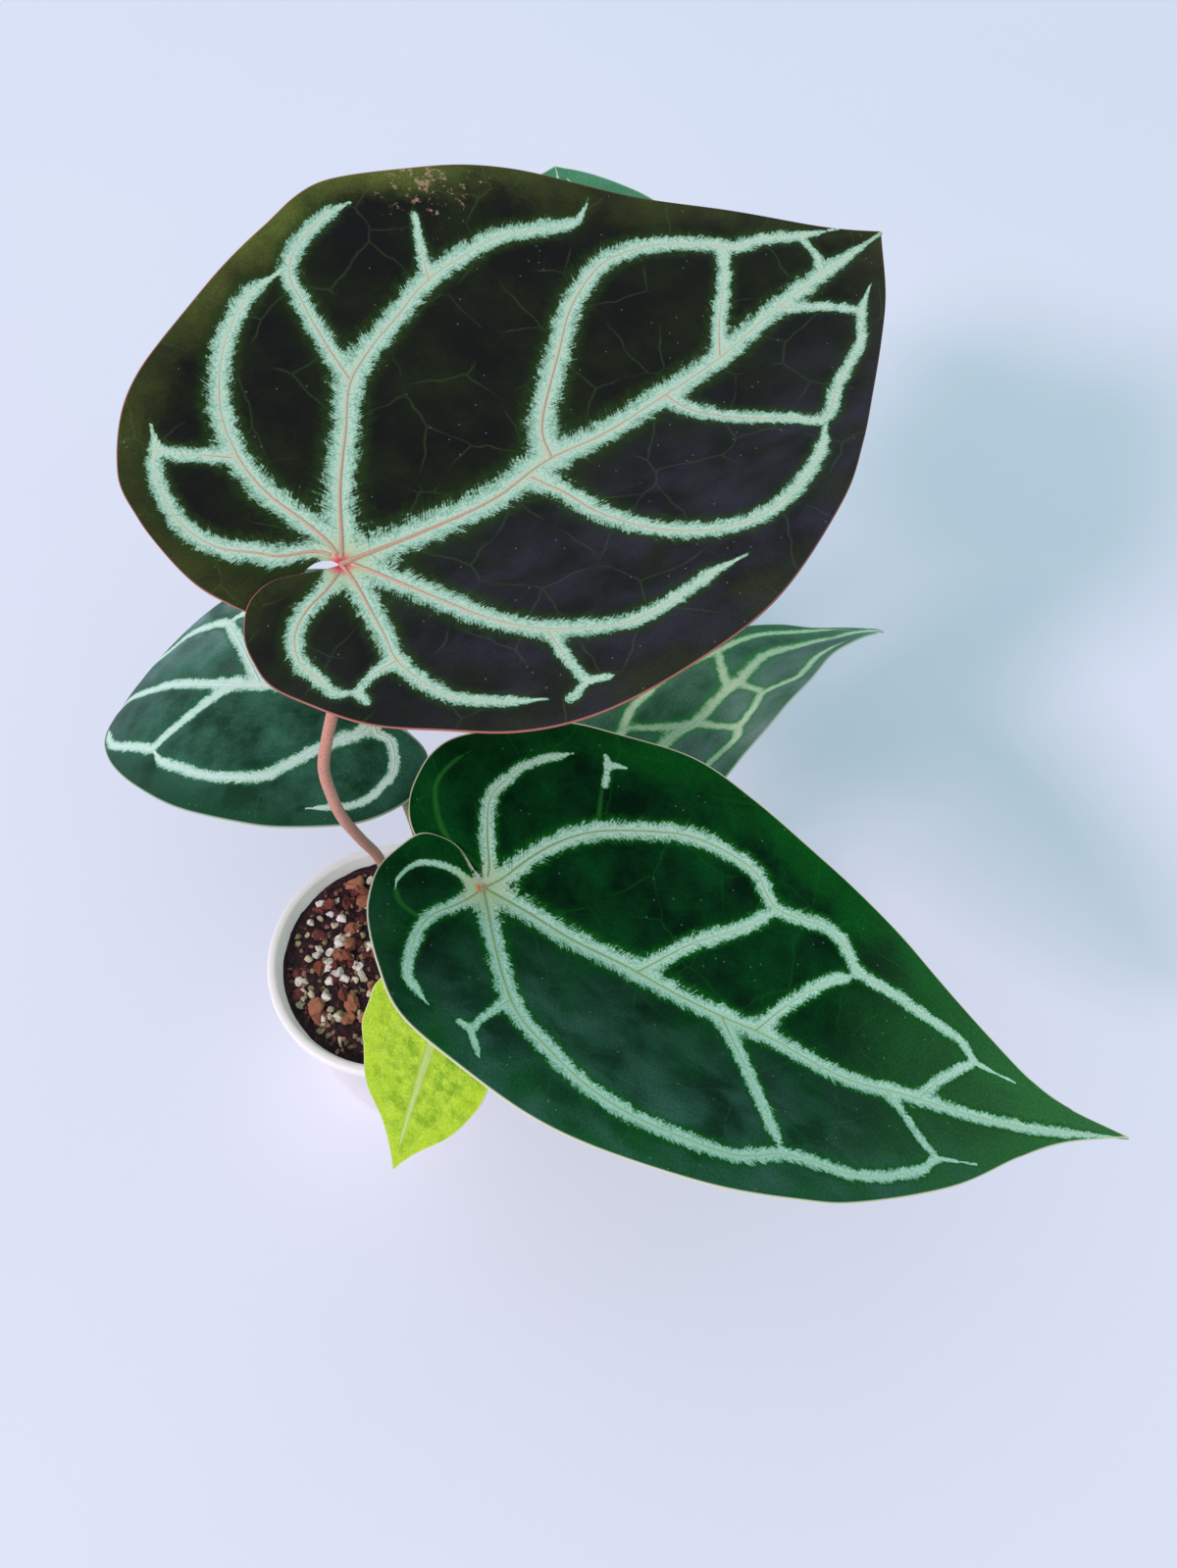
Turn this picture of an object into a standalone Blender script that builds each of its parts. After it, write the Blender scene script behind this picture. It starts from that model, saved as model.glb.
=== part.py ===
"""Potted anthurium: six heart-shaped leaves on petioles, a short stem, potting mix and a nursery pot.

Lengths below are in millimetres and are turned to metres by MM. The origin is the middle of the pot's
underside, +Z is up, and -Y is the side that the plant is usually seen from.
"""

import math
import random
from dataclasses import dataclass

import bmesh
import bpy
from mathutils import Vector

MM = 0.001
PLAY = 0.3  # clearance between pieces that touch
SEAT_PLAY = 0.65  # the same where a stalk's flat end meets a cupped blade
SEED = 7

# Pot
POT_HEIGHT = 88.0
RIM_RADIUS = 50.0
RIM_DEPTH = 5.5
WALL = 1.2
BASE_RADIUS = 42.5
NECK_RADIUS = 46.3
FLOOR = 1.5
POT_SIDES = 40
DRAIN_HOLES = 8
DRAIN_RADIUS = 3.5
DRAIN_CIRCLE = 30.0
DRAIN_SIDES = 10
LIP = 1.0  # wall of the rolled rim
RIM_SLOPE = 1.2  # how far the rim's inner bevel runs in and down
RIM_ROUND = 0.8
RIM_ROOF = 1.9  # thickness of the rim's top
HEEL = 2.0  # bevel between the floor and the wall inside
FOOT_BEVEL = 0.8

# Potting mix
MIX_TOP = 82.5
MIX_RINGS = 5
MIX_SIDES = 30
MIX_LUMP = 0.9
CHUNKS = 58
CHUNK_SMALLEST = 2.2
CHUNK_LARGEST = 5.2
CHUNK_PROUD = 0.15  # how far a chunk's middle lies under the top, against its size
CHUNK_STRAY = 0.15  # how far a chunk strays from the sunflower rule, in radians

# Stem
STEM_PLACE = (17.0, 17.0)
STEM_RADIUS = 6.5
STEM_FOOT = 48.0
STEM_TOP = 113.0
STEM_SIDES = 16
STEM_HOLE_RADIUS = 7.3
STEM_RING_GAP = 4.4
STEM_RING_DEPTH = 0.5
STEM_DOME = 6.0  # height of the rounded top

# Blades
BLADE_THICKNESS = 0.85
RIB_HEIGHT = 1.1
SPAN_STEPS = 2
RING_CROWDING = 0.9  # below 1, the rings crowd towards the margin
MIDRIB_STEPS = 8
WAVE_TURN = 0.6
BACK_FROM = 120.0  # degrees from the tip at which a back lobe starts to pass over the other
BACK_SPAN = 60.0
OPENING_ANGLE_SHARE = 0.16
OPENING_REACH = 9.0
LOBE_LIFT = 1.35
LOBE_LIFT_REACH = 4.0
FOLD_SOFTNESS = 6.0
GENICULUM = 7.0  # the swollen joint at the stalk's upper end
SEAT_SHIFT = 2.0  # the stalk's middle lies this far towards the tip from the sinus
FULL_REACH = 200.0
FOOT_SWELL = 0.25
KNUCKLE_SWELL = 0.12
KNUCKLE_POINTS = 3


@dataclass(frozen=True)
class Pose:
    """Where a blade sits and how it bends: angles in degrees, bends per metre."""

    place: tuple
    heading: float
    rise: float
    roll: float
    droop: float
    droop_growth: float
    fold: float
    cup: float


@dataclass(frozen=True)
class Blade:
    """One leaf blade: its pose and the outline of each half, from the tip to the sinus, as (along, out)."""

    name: str
    colour: tuple
    pose: Pose
    left: tuple
    right: tuple
    rings: int
    wave: float
    waves: int
    lobe_over: float
    rib_angles: tuple


@dataclass(frozen=True)
class Petiole:
    """One leaf stalk: where it leaves the stem, the points it passes, and its thickness."""

    name: str
    colour: tuple
    blade: str
    azimuth: float
    height: float
    route: tuple
    radius: float


TOP_LEAF = Blade(
    name="leaf_top_dark",
    colour=(0.012, 0.011, 0.006, 1),
    pose=Pose((4, 56, 258), 35, 0, 5, -0.3, 0, 0.12, 1.5),
    left=(
        (234, 17), (217, 30), (191, 54), (162, 76), (129, 102), (102, 116), (69, 124), (41, 116),
        (15, 107), (-8, 95), (-30, 79), (-42, 60), (-44, 44), (-43, 31), (-40, 17), (-36, 7), (-30, -1),
        (-22, -4), (-12, -3),
    ),
    right=(
        (234, -17), (215, 7), (198, 24), (179, 41), (160, 57), (137, 73), (99, 90), (65, 96), (35, 95),
        (9, 86), (-10, 71), (-28, 51), (-38, 31), (-39, 19), (-37, 9), (-32, 0), (-25, -4), (-17, -5),
        (-8, -3),
    ),
    rings=5,
    wave=0.9,
    waves=11,
    lobe_over=1.0,
    rib_angles=(4, 62, 103, 146, -59, -94, -148),
)

FRONT_LEAF = Blade(
    name="leaf_front_emerald",
    colour=(0.005, 0.030, 0.010, 1),
    pose=Pose((45.5, -20, 189), -22, -14, -10, 0.3, 0, 0.22, 0.8),
    left=(
        (236, 24), (214, 23.5), (197, 26), (178, 33), (157, 42), (138, 51), (119, 58), (101, 63),
        (72, 70), (44, 75), (16, 70), (-8, 62), (-28, 46), (-35, 36), (-36, 25), (-34, 16), (-29, 8),
        (-20, 2), (-11, 0.5),
    ),
    right=(
        (236, -24), (213, -11), (196, 3), (174, 24), (143, 45), (124, 54), (94, 64), (57, 69), (27, 67),
        (-2, 58), (-17, 45), (-27, 30), (-31, 19), (-32, 9), (-30, 0), (-25, -8), (-17, -11),
        (-10, -9.5), (-4, -5),
    ),
    rings=5,
    wave=0.9,
    waves=9,
    lobe_over=1.0,
    rib_angles=(2, 52, 103, 150, -57, -105, -150),
)

LOWER_HALF = (
    (182, 0), (165, 4), (150, 11), (131, 24), (107, 38), (81, 49), (53, 57), (25, 57), (8, 54), (-6, 48),
    (-16, 41), (-24, 32), (-27, 21), (-24, 11), (-16, 5), (-8, 2.5),
)

LEFT_LEAF = Blade(
    name="leaf_left_lower",
    colour=(0.008, 0.040, 0.022, 1),
    pose=Pose((3, 58, 177), 162.5, 3.8, -2, 6.6, 2.7, -0.03, 1.7),
    left=LOWER_HALF,
    right=LOWER_HALF,
    rings=5,
    wave=0.7,
    waves=9,
    lobe_over=0.0,
    rib_angles=(0, 54, 100, 145, -54, -100, -145),
)

RIGHT_LEAF = Blade(
    name="leaf_right_lower",
    colour=(0.008, 0.040, 0.022, 1),
    pose=Pose((78.5, 25, 133), 53, 18.3, -27.4, 3.4, 26, 0.23, -0.4),
    left=(
        (203, 12), (191, 8), (178, 5), (162, 5.5), (148, 9), (137, 17), (122, 25), (100, 33), (75, 39),
        (50, 42), (28, 41), (8, 37), (-8, 31), (-20, 23), (-26, 14), (-23, 7), (-14, 4), (-7, 2),
    ),
    right=(
        (203, -12), (191, -5.5), (178, 2), (162, 9.5), (146, 15), (128, 20), (105, 30), (87, 35),
        (69, 40), (46, 42), (25, 41), (8, 37), (-8, 31), (-20, 23), (-26, 14), (-23, 7), (-14, 4),
        (-7, 2),
    ),
    rings=5,
    wave=0.7,
    waves=9,
    lobe_over=0.0,
    rib_angles=(2, 48, 100, 145, -45, -100, -145),
)

YOUNG_HALF = (
    (79, 0), (71, 3.5), (61, 9), (48, 17.5), (33, 24), (20, 27), (8, 27), (-2, 24), (-9, 19), (-13, 13),
    (-12, 7), (-8, 3.5), (-4, 1.5),
)

YOUNG_LEAF = Blade(
    name="leaf_young_lime",
    colour=(0.270, 0.570, 0.013, 1),
    pose=Pose((30, -43, 142), -120.5, -49, 4.3, 1.9, 7.1, 0.17, 0),
    left=YOUNG_HALF,
    right=YOUNG_HALF,
    rings=4,
    wave=0.7,
    waves=13,
    lobe_over=0.0,
    rib_angles=(0, 52, -52),
)

BACK_HALF = (
    (131, 0), (128, 4), (124, 9.5), (118, 16), (109, 24), (98, 32), (84, 39), (68, 45), (50, 49),
    (32, 51), (14, 49), (-1, 43), (-12, 34), (-18, 24), (-19, 14), (-15, 6), (-8, 3),
)

BACK_LEAF = Blade(
    name="leaf_back",
    colour=(0.020, 0.100, 0.050, 1),
    pose=Pose((86, 146, 243), 99.5, 11, -7, 2.0, 0, 0.05, 0),
    left=BACK_HALF,
    right=BACK_HALF,
    rings=4,
    wave=0.7,
    waves=9,
    lobe_over=0.0,
    rib_angles=(0, 54, 100, -54, -100),
)

BLADES = (TOP_LEAF, FRONT_LEAF, LEFT_LEAF, RIGHT_LEAF, YOUNG_LEAF, BACK_LEAF)

OLIVE = (0.170, 0.200, 0.060, 1)
SALMON = (0.330, 0.130, 0.090, 1)

PETIOLES = (
    Petiole(
        name="petiole_top_dark",
        colour=SALMON,
        blade="leaf_top_dark",
        azimuth=200,
        height=92,
        route=(
            (6.5, 13.5, 101), (4.5, 12.6, 125), (3.1, 11.6, 150), (0.6, 8, 170), (-2, 5.4, 190),
            (-4, 7.9, 201), (-5, 11.9, 211), (-2.5, 17, 221), (1.5, 26, 233), (3.5, 40, 245),
        ),
        radius=1.95,
    ),
    Petiole(
        name="petiole_front_emerald",
        colour=OLIVE,
        blade="leaf_front_emerald",
        azimuth=-50,
        height=96,
        route=((25, 7, 104), (31, -1, 125), (38, -11, 150), (43, -17, 170)),
        radius=2.1,
    ),
    Petiole(
        name="petiole_left_lower",
        colour=OLIVE,
        blade="leaf_left_lower",
        azimuth=122,
        height=99,
        route=(
            (12.2, 25.5, 106), (13.5, 27, 122), (14.6, 28, 136), (12.8, 31.5, 150), (7, 44, 162), (3.5, 54, 167),
        ),
        radius=1.9,
    ),
    Petiole(
        name="petiole_right_lower",
        colour=OLIVE,
        blade="leaf_right_lower",
        azimuth=8,
        height=93,
        route=((32, 19, 97), (50, 21, 102.5), (67, 23, 108), (80, 24.5, 115)),
        radius=1.9,
    ),
    Petiole(
        name="petiole_young_lime",
        colour=(0.250, 0.420, 0.050, 1),
        blade="leaf_young_lime",
        azimuth=-105,
        height=101,
        route=((14.8, 7, 106), (16, 0, 118), (22, -13, 130), (29, -28, 136)),
        radius=1.4,
    ),
    Petiole(
        name="petiole_back",
        colour=OLIVE,
        blade="leaf_back",
        azimuth=66,
        height=106,
        route=((22, 29, 113), (28, 44, 124), (37, 68, 142), (50, 96, 168), (68, 123, 204), (80, 139, 228)),
        radius=2.0,
    ),
)


def clear_scene():
    """Remove whatever the scene holds at the start."""
    for obj in list(bpy.data.objects):
        bpy.data.objects.remove(obj, do_unlink=True)


def new_collection(name):
    """A collection linked to the scene."""
    group = bpy.data.collections.new(name)
    bpy.context.scene.collection.children.link(group)
    return group


def finish(name, colour, roughness):
    """A Principled material with its colour and roughness."""
    material = bpy.data.materials.new(name)
    material.use_nodes = True
    shader = material.node_tree.nodes["Principled BSDF"]
    shader.inputs["Base Color"].default_value = colour
    shader.inputs["Roughness"].default_value = roughness
    shader.inputs["Metallic"].default_value = 0.0
    return material


def put(name, data, group, material=None):
    """An object for this data, in its collection, with its material."""
    obj = bpy.data.objects.new(name, data)
    group.objects.link(obj)
    if material:
        obj.data.materials.append(material)
    return obj


def mesh_from(name, points, faces):
    """A mesh from points in millimetres and faces."""
    mesh = bpy.data.meshes.new(name)
    mesh.from_pydata([Vector(point) * MM for point in points], [], faces)
    return mesh


def turned(name, profile, sides, group, material):
    """A turned body from an open profile of (radius, height), both ends on the axis."""
    edges = [(i, i + 1) for i in range(len(profile) - 1)]
    mesh = bpy.data.meshes.new(name)
    mesh.from_pydata([(r * MM, 0, z * MM) for r, z in profile], edges, [])
    body = put(name, mesh, group, material)
    screw = body.modifiers.new("turn", "SCREW")
    screw.steps = sides
    screw.render_steps = sides
    screw.use_merge_vertices = True
    screw.merge_threshold = 0.00001
    screw.use_smooth_shade = True
    return body


def baked(obj):
    """Replace the object's mesh by its evaluated one and drop the modifiers."""
    graph = bpy.context.evaluated_depsgraph_get()
    graph.update()
    mesh = bpy.data.meshes.new_from_object(obj.evaluated_get(graph))
    obj.modifiers.clear()
    obj.data = mesh


def cylinder(name, radius, low, high, centre, sides, group):
    """An upright closed cylinder between two heights."""
    shape = bmesh.new()
    size = radius * MM
    depth = (high - low) * MM
    bmesh.ops.create_cone(shape, cap_ends=True, segments=sides, radius1=size, radius2=size, depth=depth)
    middle = Vector((centre[0], centre[1], (low + high) / 2)) * MM
    bmesh.ops.translate(shape, verts=shape.verts, vec=middle)
    mesh = bpy.data.meshes.new(name)
    shape.to_mesh(mesh)
    shape.free()
    return put(name, mesh, group)


def as_cutter(obj):
    """Mark the object as a helper that takes no part in the model."""
    obj.hide_render = True
    obj.display_type = "WIRE"


def wall_radius(height):
    """Outer radius of the pot's wall at a height."""
    share = height / (POT_HEIGHT - RIM_DEPTH)
    return BASE_RADIUS + (NECK_RADIUS - BASE_RADIUS) * share


def pot_profile():
    """Half section of the pot: floor, inside of the wall, rolled rim, outside of the wall, underside."""
    neck = POT_HEIGHT - RIM_DEPTH
    lip = RIM_RADIUS - LIP
    return [
        (0, FLOOR),
        (BASE_RADIUS - WALL - HEEL, FLOOR),
        (wall_radius(FLOOR + HEEL) - WALL, FLOOR + HEEL),
        (wall_radius(neck) - WALL, neck),
        (NECK_RADIUS + PLAY, POT_HEIGHT - RIM_SLOPE),
        (NECK_RADIUS + RIM_SLOPE, POT_HEIGHT),
        (RIM_RADIUS - RIM_ROUND, POT_HEIGHT),
        (RIM_RADIUS, POT_HEIGHT - RIM_ROUND),
        (RIM_RADIUS, neck),
        (lip, neck),
        (lip, POT_HEIGHT - RIM_ROOF),
        (NECK_RADIUS + RIM_SLOPE, POT_HEIGHT - RIM_ROOF),
        (wall_radius(neck), neck - LIP),
        (BASE_RADIUS + PLAY, FOOT_BEVEL),
        (BASE_RADIUS - FOOT_BEVEL, 0),
        (0, 0),
    ]


def build_pot(parts, cutters):
    """The nursery pot with its ring of drain holes."""
    material = finish("frosted_polypropylene", (0.78, 0.80, 0.82, 1), 0.45)
    pot = turned("pot", pot_profile(), POT_SIDES, parts, material)
    drains = bpy.data.collections.new("drain_holes")
    cutters.children.link(drains)
    for i in range(DRAIN_HOLES):
        angle = math.tau * (i + 0.5) / DRAIN_HOLES
        centre = (DRAIN_CIRCLE * math.cos(angle), DRAIN_CIRCLE * math.sin(angle))
        as_cutter(cylinder(f"drain_{i}", DRAIN_RADIUS, -FLOOR, 2 * FLOOR, centre, DRAIN_SIDES, drains))
    cut = pot.modifiers.new("drains", "BOOLEAN")
    cut.operation = "DIFFERENCE"
    cut.operand_type = "COLLECTION"
    cut.collection = drains


def mix_height(radius, angle):
    """Height of the potting mix's rough top at a place."""
    swell = math.sin(0.21 * radius * math.cos(angle) + 1.3) * math.sin(0.17 * radius * math.sin(angle) - 0.4)
    grain = math.sin(5 * angle + 0.9 * radius) * math.cos(3 * angle - 0.6 * radius)
    return MIX_TOP + MIX_LUMP * (0.9 * swell + 0.6 * grain)


def mix_body(parts, material):
    """The packed mix: a tapered plug with a rough top."""
    outer = wall_radius(MIX_TOP) - WALL - PLAY
    foot = wall_radius(FLOOR + HEEL) - WALL - PLAY - 0.4
    points = [(0, 0, mix_height(0, 0))]
    for ring in range(1, MIX_RINGS + 1):
        radius = outer * ring / MIX_RINGS
        for side in range(MIX_SIDES):
            angle = math.tau * side / MIX_SIDES
            height = mix_height(radius, angle) if ring < MIX_RINGS else MIX_TOP - MIX_LUMP
            points.append((radius * math.cos(angle), radius * math.sin(angle), height))
    for radius, height in ((foot, FLOOR + HEEL + PLAY), (foot - HEEL, FLOOR + PLAY)):
        for side in range(MIX_SIDES):
            angle = math.tau * side / MIX_SIDES
            points.append((radius * math.cos(angle), radius * math.sin(angle), height))
    bottom = len(points)
    points.append((0, 0, FLOOR + PLAY))
    faces = []
    rows = MIX_RINGS + 2
    for side in range(MIX_SIDES):
        after = (side + 1) % MIX_SIDES
        faces.append((0, 1 + side, 1 + after))
        for row in range(rows - 1):
            inner = 1 + row * MIX_SIDES
            outer_row = inner + MIX_SIDES
            faces.append((inner + side, outer_row + side, outer_row + after))
            faces.append((inner + side, outer_row + after, inner + after))
        last = 1 + (rows - 1) * MIX_SIDES
        faces.append((last + after, last + side, bottom))
    return put("potting_mix", mesh_from("potting_mix", points, faces), parts, material)


def scatter_chunks(group):
    """Bark and pumice lumps sunk half into the top of the mix, evenly spread by a sunflower rule."""
    draw = random.Random(SEED)
    reach = wall_radius(MIX_TOP) - WALL - PLAY - CHUNK_LARGEST
    golden = math.pi * (3 - math.sqrt(5))
    for i in range(CHUNKS):
        radius = reach * math.sqrt((i + 0.5) / CHUNKS)
        angle = golden * i + draw.uniform(-CHUNK_STRAY, CHUNK_STRAY)
        place = Vector((radius * math.cos(angle), radius * math.sin(angle), 0))
        size = draw.uniform(CHUNK_SMALLEST, CHUNK_LARGEST)
        shape = bmesh.new()
        bmesh.ops.create_icosphere(shape, subdivisions=1, radius=size * MM)
        for corner in shape.verts:
            corner.co.x *= draw.uniform(0.8, 1.2)
            corner.co.y *= draw.uniform(0.6, 1.0)
            corner.co.z *= draw.uniform(0.5, 0.8)
        turn = draw.uniform(0, math.tau)
        cosine, sine = math.cos(turn), math.sin(turn)
        lift = mix_height(radius, angle) - CHUNK_PROUD * size
        for corner in shape.verts:
            x, y = corner.co.x, corner.co.y
            corner.co.x = x * cosine - y * sine + place.x * MM
            corner.co.y = x * sine + y * cosine + place.y * MM
            corner.co.z += lift * MM
        mesh = bpy.data.meshes.new(f"chunk_{i}")
        shape.to_mesh(mesh)
        shape.free()
        put(f"chunk_{i}", mesh, group)


def build_mix(parts, cutters):
    """Potting mix with its chunks fused on and a plain hole for the stem."""
    material = finish("bark_and_pumice", (0.075, 0.032, 0.020, 1), 0.95)
    mix = mix_body(parts, material)
    chunks = bpy.data.collections.new("chunks")
    cutters.children.link(chunks)
    scatter_chunks(chunks)
    join = mix.modifiers.new("chunks", "BOOLEAN")
    join.operation = "UNION"
    join.solver = "MANIFOLD"
    join.operand_type = "COLLECTION"
    join.collection = chunks
    baked(mix)
    for chunk in list(chunks.objects):
        bpy.data.objects.remove(chunk, do_unlink=True)
    bpy.data.collections.remove(chunks)
    foot = STEM_FOOT - PLAY
    hole = cylinder("stem_hole", STEM_HOLE_RADIUS, foot, STEM_TOP, STEM_PLACE, STEM_SIDES, cutters)
    as_cutter(hole)
    cut = mix.modifiers.new("stem_hole", "BOOLEAN")
    cut.operation = "DIFFERENCE"
    cut.object = hole


def build_stem(parts):
    """The short ringed stem that stands in the mix and carries the petioles."""
    material = finish("stem_bark", (0.150, 0.140, 0.060, 1), 0.7)
    profile = [(0, STEM_TOP), (STEM_RADIUS * 0.4, STEM_TOP - 0.7)]
    profile.append((STEM_RADIUS * 0.7, STEM_TOP - STEM_DOME / 2))
    height = STEM_TOP - STEM_DOME
    while height > MIX_TOP - STEM_RING_GAP:
        profile.append((STEM_RADIUS, height))
        profile.append((STEM_RADIUS - STEM_RING_DEPTH, height - STEM_RING_GAP / 2))
        height -= STEM_RING_GAP
    profile += [(STEM_RADIUS, STEM_FOOT + 3.0), (STEM_RADIUS - 1.5, STEM_FOOT), (0, STEM_FOOT)]
    stem = turned("stem", profile, STEM_SIDES, parts, material)
    stem.location = Vector((STEM_PLACE[0], STEM_PLACE[1], 0)) * MM


def frame_of(pose):
    """The blade's own directions at its attachment: towards the tip, to the left, and up from the face."""
    heading, rise, roll = (math.radians(value) for value in (pose.heading, pose.rise, pose.roll))
    tipward = Vector(
        (math.cos(heading) * math.cos(rise), math.sin(heading) * math.cos(rise), math.sin(rise))
    )
    level = Vector((-math.sin(heading), math.cos(heading), 0))
    upward = tipward.cross(level)
    leftward = level * math.cos(roll) + upward * math.sin(roll)
    return tipward, leftward, tipward.cross(leftward)


def along_midrib(pose, along):
    """Distance ahead, height and slope of the bent midrib at a length from the attachment."""
    ahead, height = 0.0, 0.0
    reach = max(along, 0.0)
    for i in range(MIDRIB_STEPS):
        share = (i + 0.5) / MIDRIB_STEPS
        part = reach * share
        slope = -(pose.droop * MM * part + pose.droop_growth * MM * MM * part * part / 2)
        ahead += math.cos(slope) * along / MIDRIB_STEPS
        height += math.sin(slope) * along / MIDRIB_STEPS
    slope = -(pose.droop * MM * reach + pose.droop_growth * MM * MM * reach * reach / 2)
    return ahead, height, slope


def on_blade(blade, angle, radius, reach):
    """A point of the blade's upper face, from its angle and distance in the flat leaf (millimetres)."""
    pose = blade.pose
    opening = 1 - OPENING_ANGLE_SHARE * math.exp(-radius / OPENING_REACH)
    turned_angle = angle * opening
    along, out = radius * math.cos(turned_angle), radius * math.sin(turned_angle)
    raised = pose.fold * (math.hypot(out, FOLD_SOFTNESS) - FOLD_SOFTNESS) + pose.cup * MM * out * out / 2
    raised += blade.wave * (radius / reach) ** 3 * math.sin(blade.waves * angle + WAVE_TURN)
    back = max(0.0, min(1.0, (abs(math.degrees(angle)) - BACK_FROM) / BACK_SPAN))
    lift = LOBE_LIFT * (1 - math.exp(-radius / LOBE_LIFT_REACH)) * back * back * (3 - 2 * back)
    raised -= math.copysign(lift, angle) * blade.lobe_over
    ahead, height, slope = along_midrib(pose, along)
    tipward, leftward, upward = frame_of(pose)
    ahead -= raised * math.sin(slope)
    height += raised * math.cos(slope)
    return Vector(pose.place) + tipward * ahead + leftward * out + upward * height


def smooth(points, steps):
    """Points on a Catmull-Rom curve through the given ones, with this many steps a span."""
    points = [Vector(point) for point in points]
    ends = [points[0] * 2 - points[1]] + points + [points[-1] * 2 - points[-2]]
    found = []
    for i in range(1, len(ends) - 2):
        a, b, c, d = ends[i - 1 : i + 3]
        for step in range(steps):
            t = step / steps
            bend = (2 * a - 5 * b + 4 * c - d) * t * t + (3 * b - a - 3 * c + d) * t**3
            found.append(0.5 * (2 * b + (c - a) * t + bend))
    return found + [points[-1]]


def margin(blade):
    """The outline as (angle, radius) from the right sinus round by the tip to the left sinus."""
    right = smooth([(along, -out) for along, out in blade.right], SPAN_STEPS)
    left = smooth(blade.left, SPAN_STEPS)
    around = list(reversed(right)) + left[1:]
    tip = len(right) - 1
    polar = []
    for i, point in enumerate(around):
        angle = math.atan2(point.y, point.x)
        if i < tip and angle > math.pi / 2:
            angle -= math.tau
        if i > tip and angle < -math.pi / 2:
            angle += math.tau
        polar.append((angle, point.length))
    return polar


def build_blade(blade, parts):
    """One blade: spokes from the petiole's end to the margin, bent by formula, with ribs beneath."""
    material = finish(f"{blade.name}_velvet", blade.colour, 0.6)
    spokes = margin(blade)
    points = [on_blade(blade, 0, 0, 1)]
    shares = [((ring + 1) / blade.rings) ** RING_CROWDING for ring in range(blade.rings)]
    for angle, reach in spokes:
        points += [on_blade(blade, angle, reach * share, reach) for share in shares]
    faces = []
    for i in range(len(spokes) - 1):
        here, after = 1 + i * blade.rings, 1 + (i + 1) * blade.rings
        faces.append((0, here, after))
        for ring in range(blade.rings - 1):
            faces.append((here + ring, here + ring + 1, after + ring + 1))
            faces.append((here + ring, after + ring + 1, after + ring))
    body = put(blade.name, mesh_from(blade.name, points, faces), parts, material)
    add_ribs(body, blade, spokes)
    body.data.shade_smooth()


def add_ribs(body, blade, spokes):
    """Thickness from Solidify, greater along the spokes nearest to the main veins."""
    deepest = BLADE_THICKNESS + RIB_HEIGHT
    plain = BLADE_THICKNESS / deepest
    ribs = body.vertex_groups.new(name="ribs")
    ribs.add(range(len(body.data.vertices)), plain, "REPLACE")
    ribs.add([0], 1.0, "REPLACE")
    for wanted in blade.rib_angles:
        spoke = min(range(len(spokes)), key=lambda i: abs(math.degrees(spokes[i][0]) - wanted))
        for ring in range(blade.rings - 1):
            weight = plain + (1 - plain) * (1 - (ring + 1) / blade.rings)
            ribs.add([1 + spoke * blade.rings + ring], weight, "REPLACE")
    shell = body.modifiers.new("thickness", "SOLIDIFY")
    shell.thickness = deepest * MM
    shell.offset = -1
    shell.vertex_group = ribs.name
    shell.use_rim = True


def petiole_points(petiole, blade):
    """The stalk's middle line, from the stem's side to just under the blade."""
    azimuth = math.radians(petiole.azimuth)
    outward = Vector((math.cos(azimuth), math.sin(azimuth), 0))
    foot = Vector((STEM_PLACE[0], STEM_PLACE[1], petiole.height)) + outward * (STEM_RADIUS + PLAY)
    leaving = foot + outward * petiole.radius * 0.9
    _, _, upward = frame_of(blade.pose)
    seat = on_blade(blade, 0, SEAT_SHIFT, FULL_REACH) - upward * (BLADE_THICKNESS + RIB_HEIGHT + SEAT_PLAY)
    below = seat - upward * GENICULUM
    line = smooth([leaving, *petiole.route, below], SPAN_STEPS)
    return [foot, *line, seat]


def build_petiole(petiole, blade, parts):
    """A round stalk, thicker at its foot and at the swollen joint under the blade."""
    material = finish(petiole.name, petiole.colour, 0.45)
    line = petiole_points(petiole, blade)
    curve = bpy.data.curves.new(petiole.name, "CURVE")
    curve.dimensions = "3D"
    curve.bevel_depth = petiole.radius * MM
    curve.bevel_resolution = 2
    curve.use_fill_caps = True
    spline = curve.splines.new("POLY")
    spline.points.add(len(line) - 1)
    for i, place in enumerate(line):
        spline.points[i].co = (*(place * MM), 1)
        share = i / (len(line) - 1)
        knuckle = KNUCKLE_SWELL if i >= len(line) - KNUCKLE_POINTS else 0.0
        spline.points[i].radius = 1.0 + FOOT_SWELL * (1 - share) ** 4 + knuckle
    put(petiole.name, curve, parts, material)


def build():
    """Build every piece of the potted plant."""
    clear_scene()
    parts = new_collection("potted_anthurium")
    cutters = new_collection("cutters")
    build_pot(parts, cutters)
    build_mix(parts, cutters)
    build_stem(parts)
    blades = {blade.name: blade for blade in BLADES}
    for blade in BLADES:
        build_blade(blade, parts)
    for petiole in PETIOLES:
        build_petiole(petiole, blades[petiole.blade], parts)


build()
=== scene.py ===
"""Looks of a potted anthurium: velvet leaves with mint veins, stalks, a stem, bark mix and a frosted pot.

Lengths in the classes are millimetres and MM turns them to metres. A blade is drawn flat, with x along its
midrib to the tip and y to its left, and one formula bends it to its place.
"""

import logging
import math
import random
from dataclasses import dataclass
from enum import Enum
from typing import Any

import bmesh
import bpy
import numpy as np
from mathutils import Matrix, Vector, noise

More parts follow.
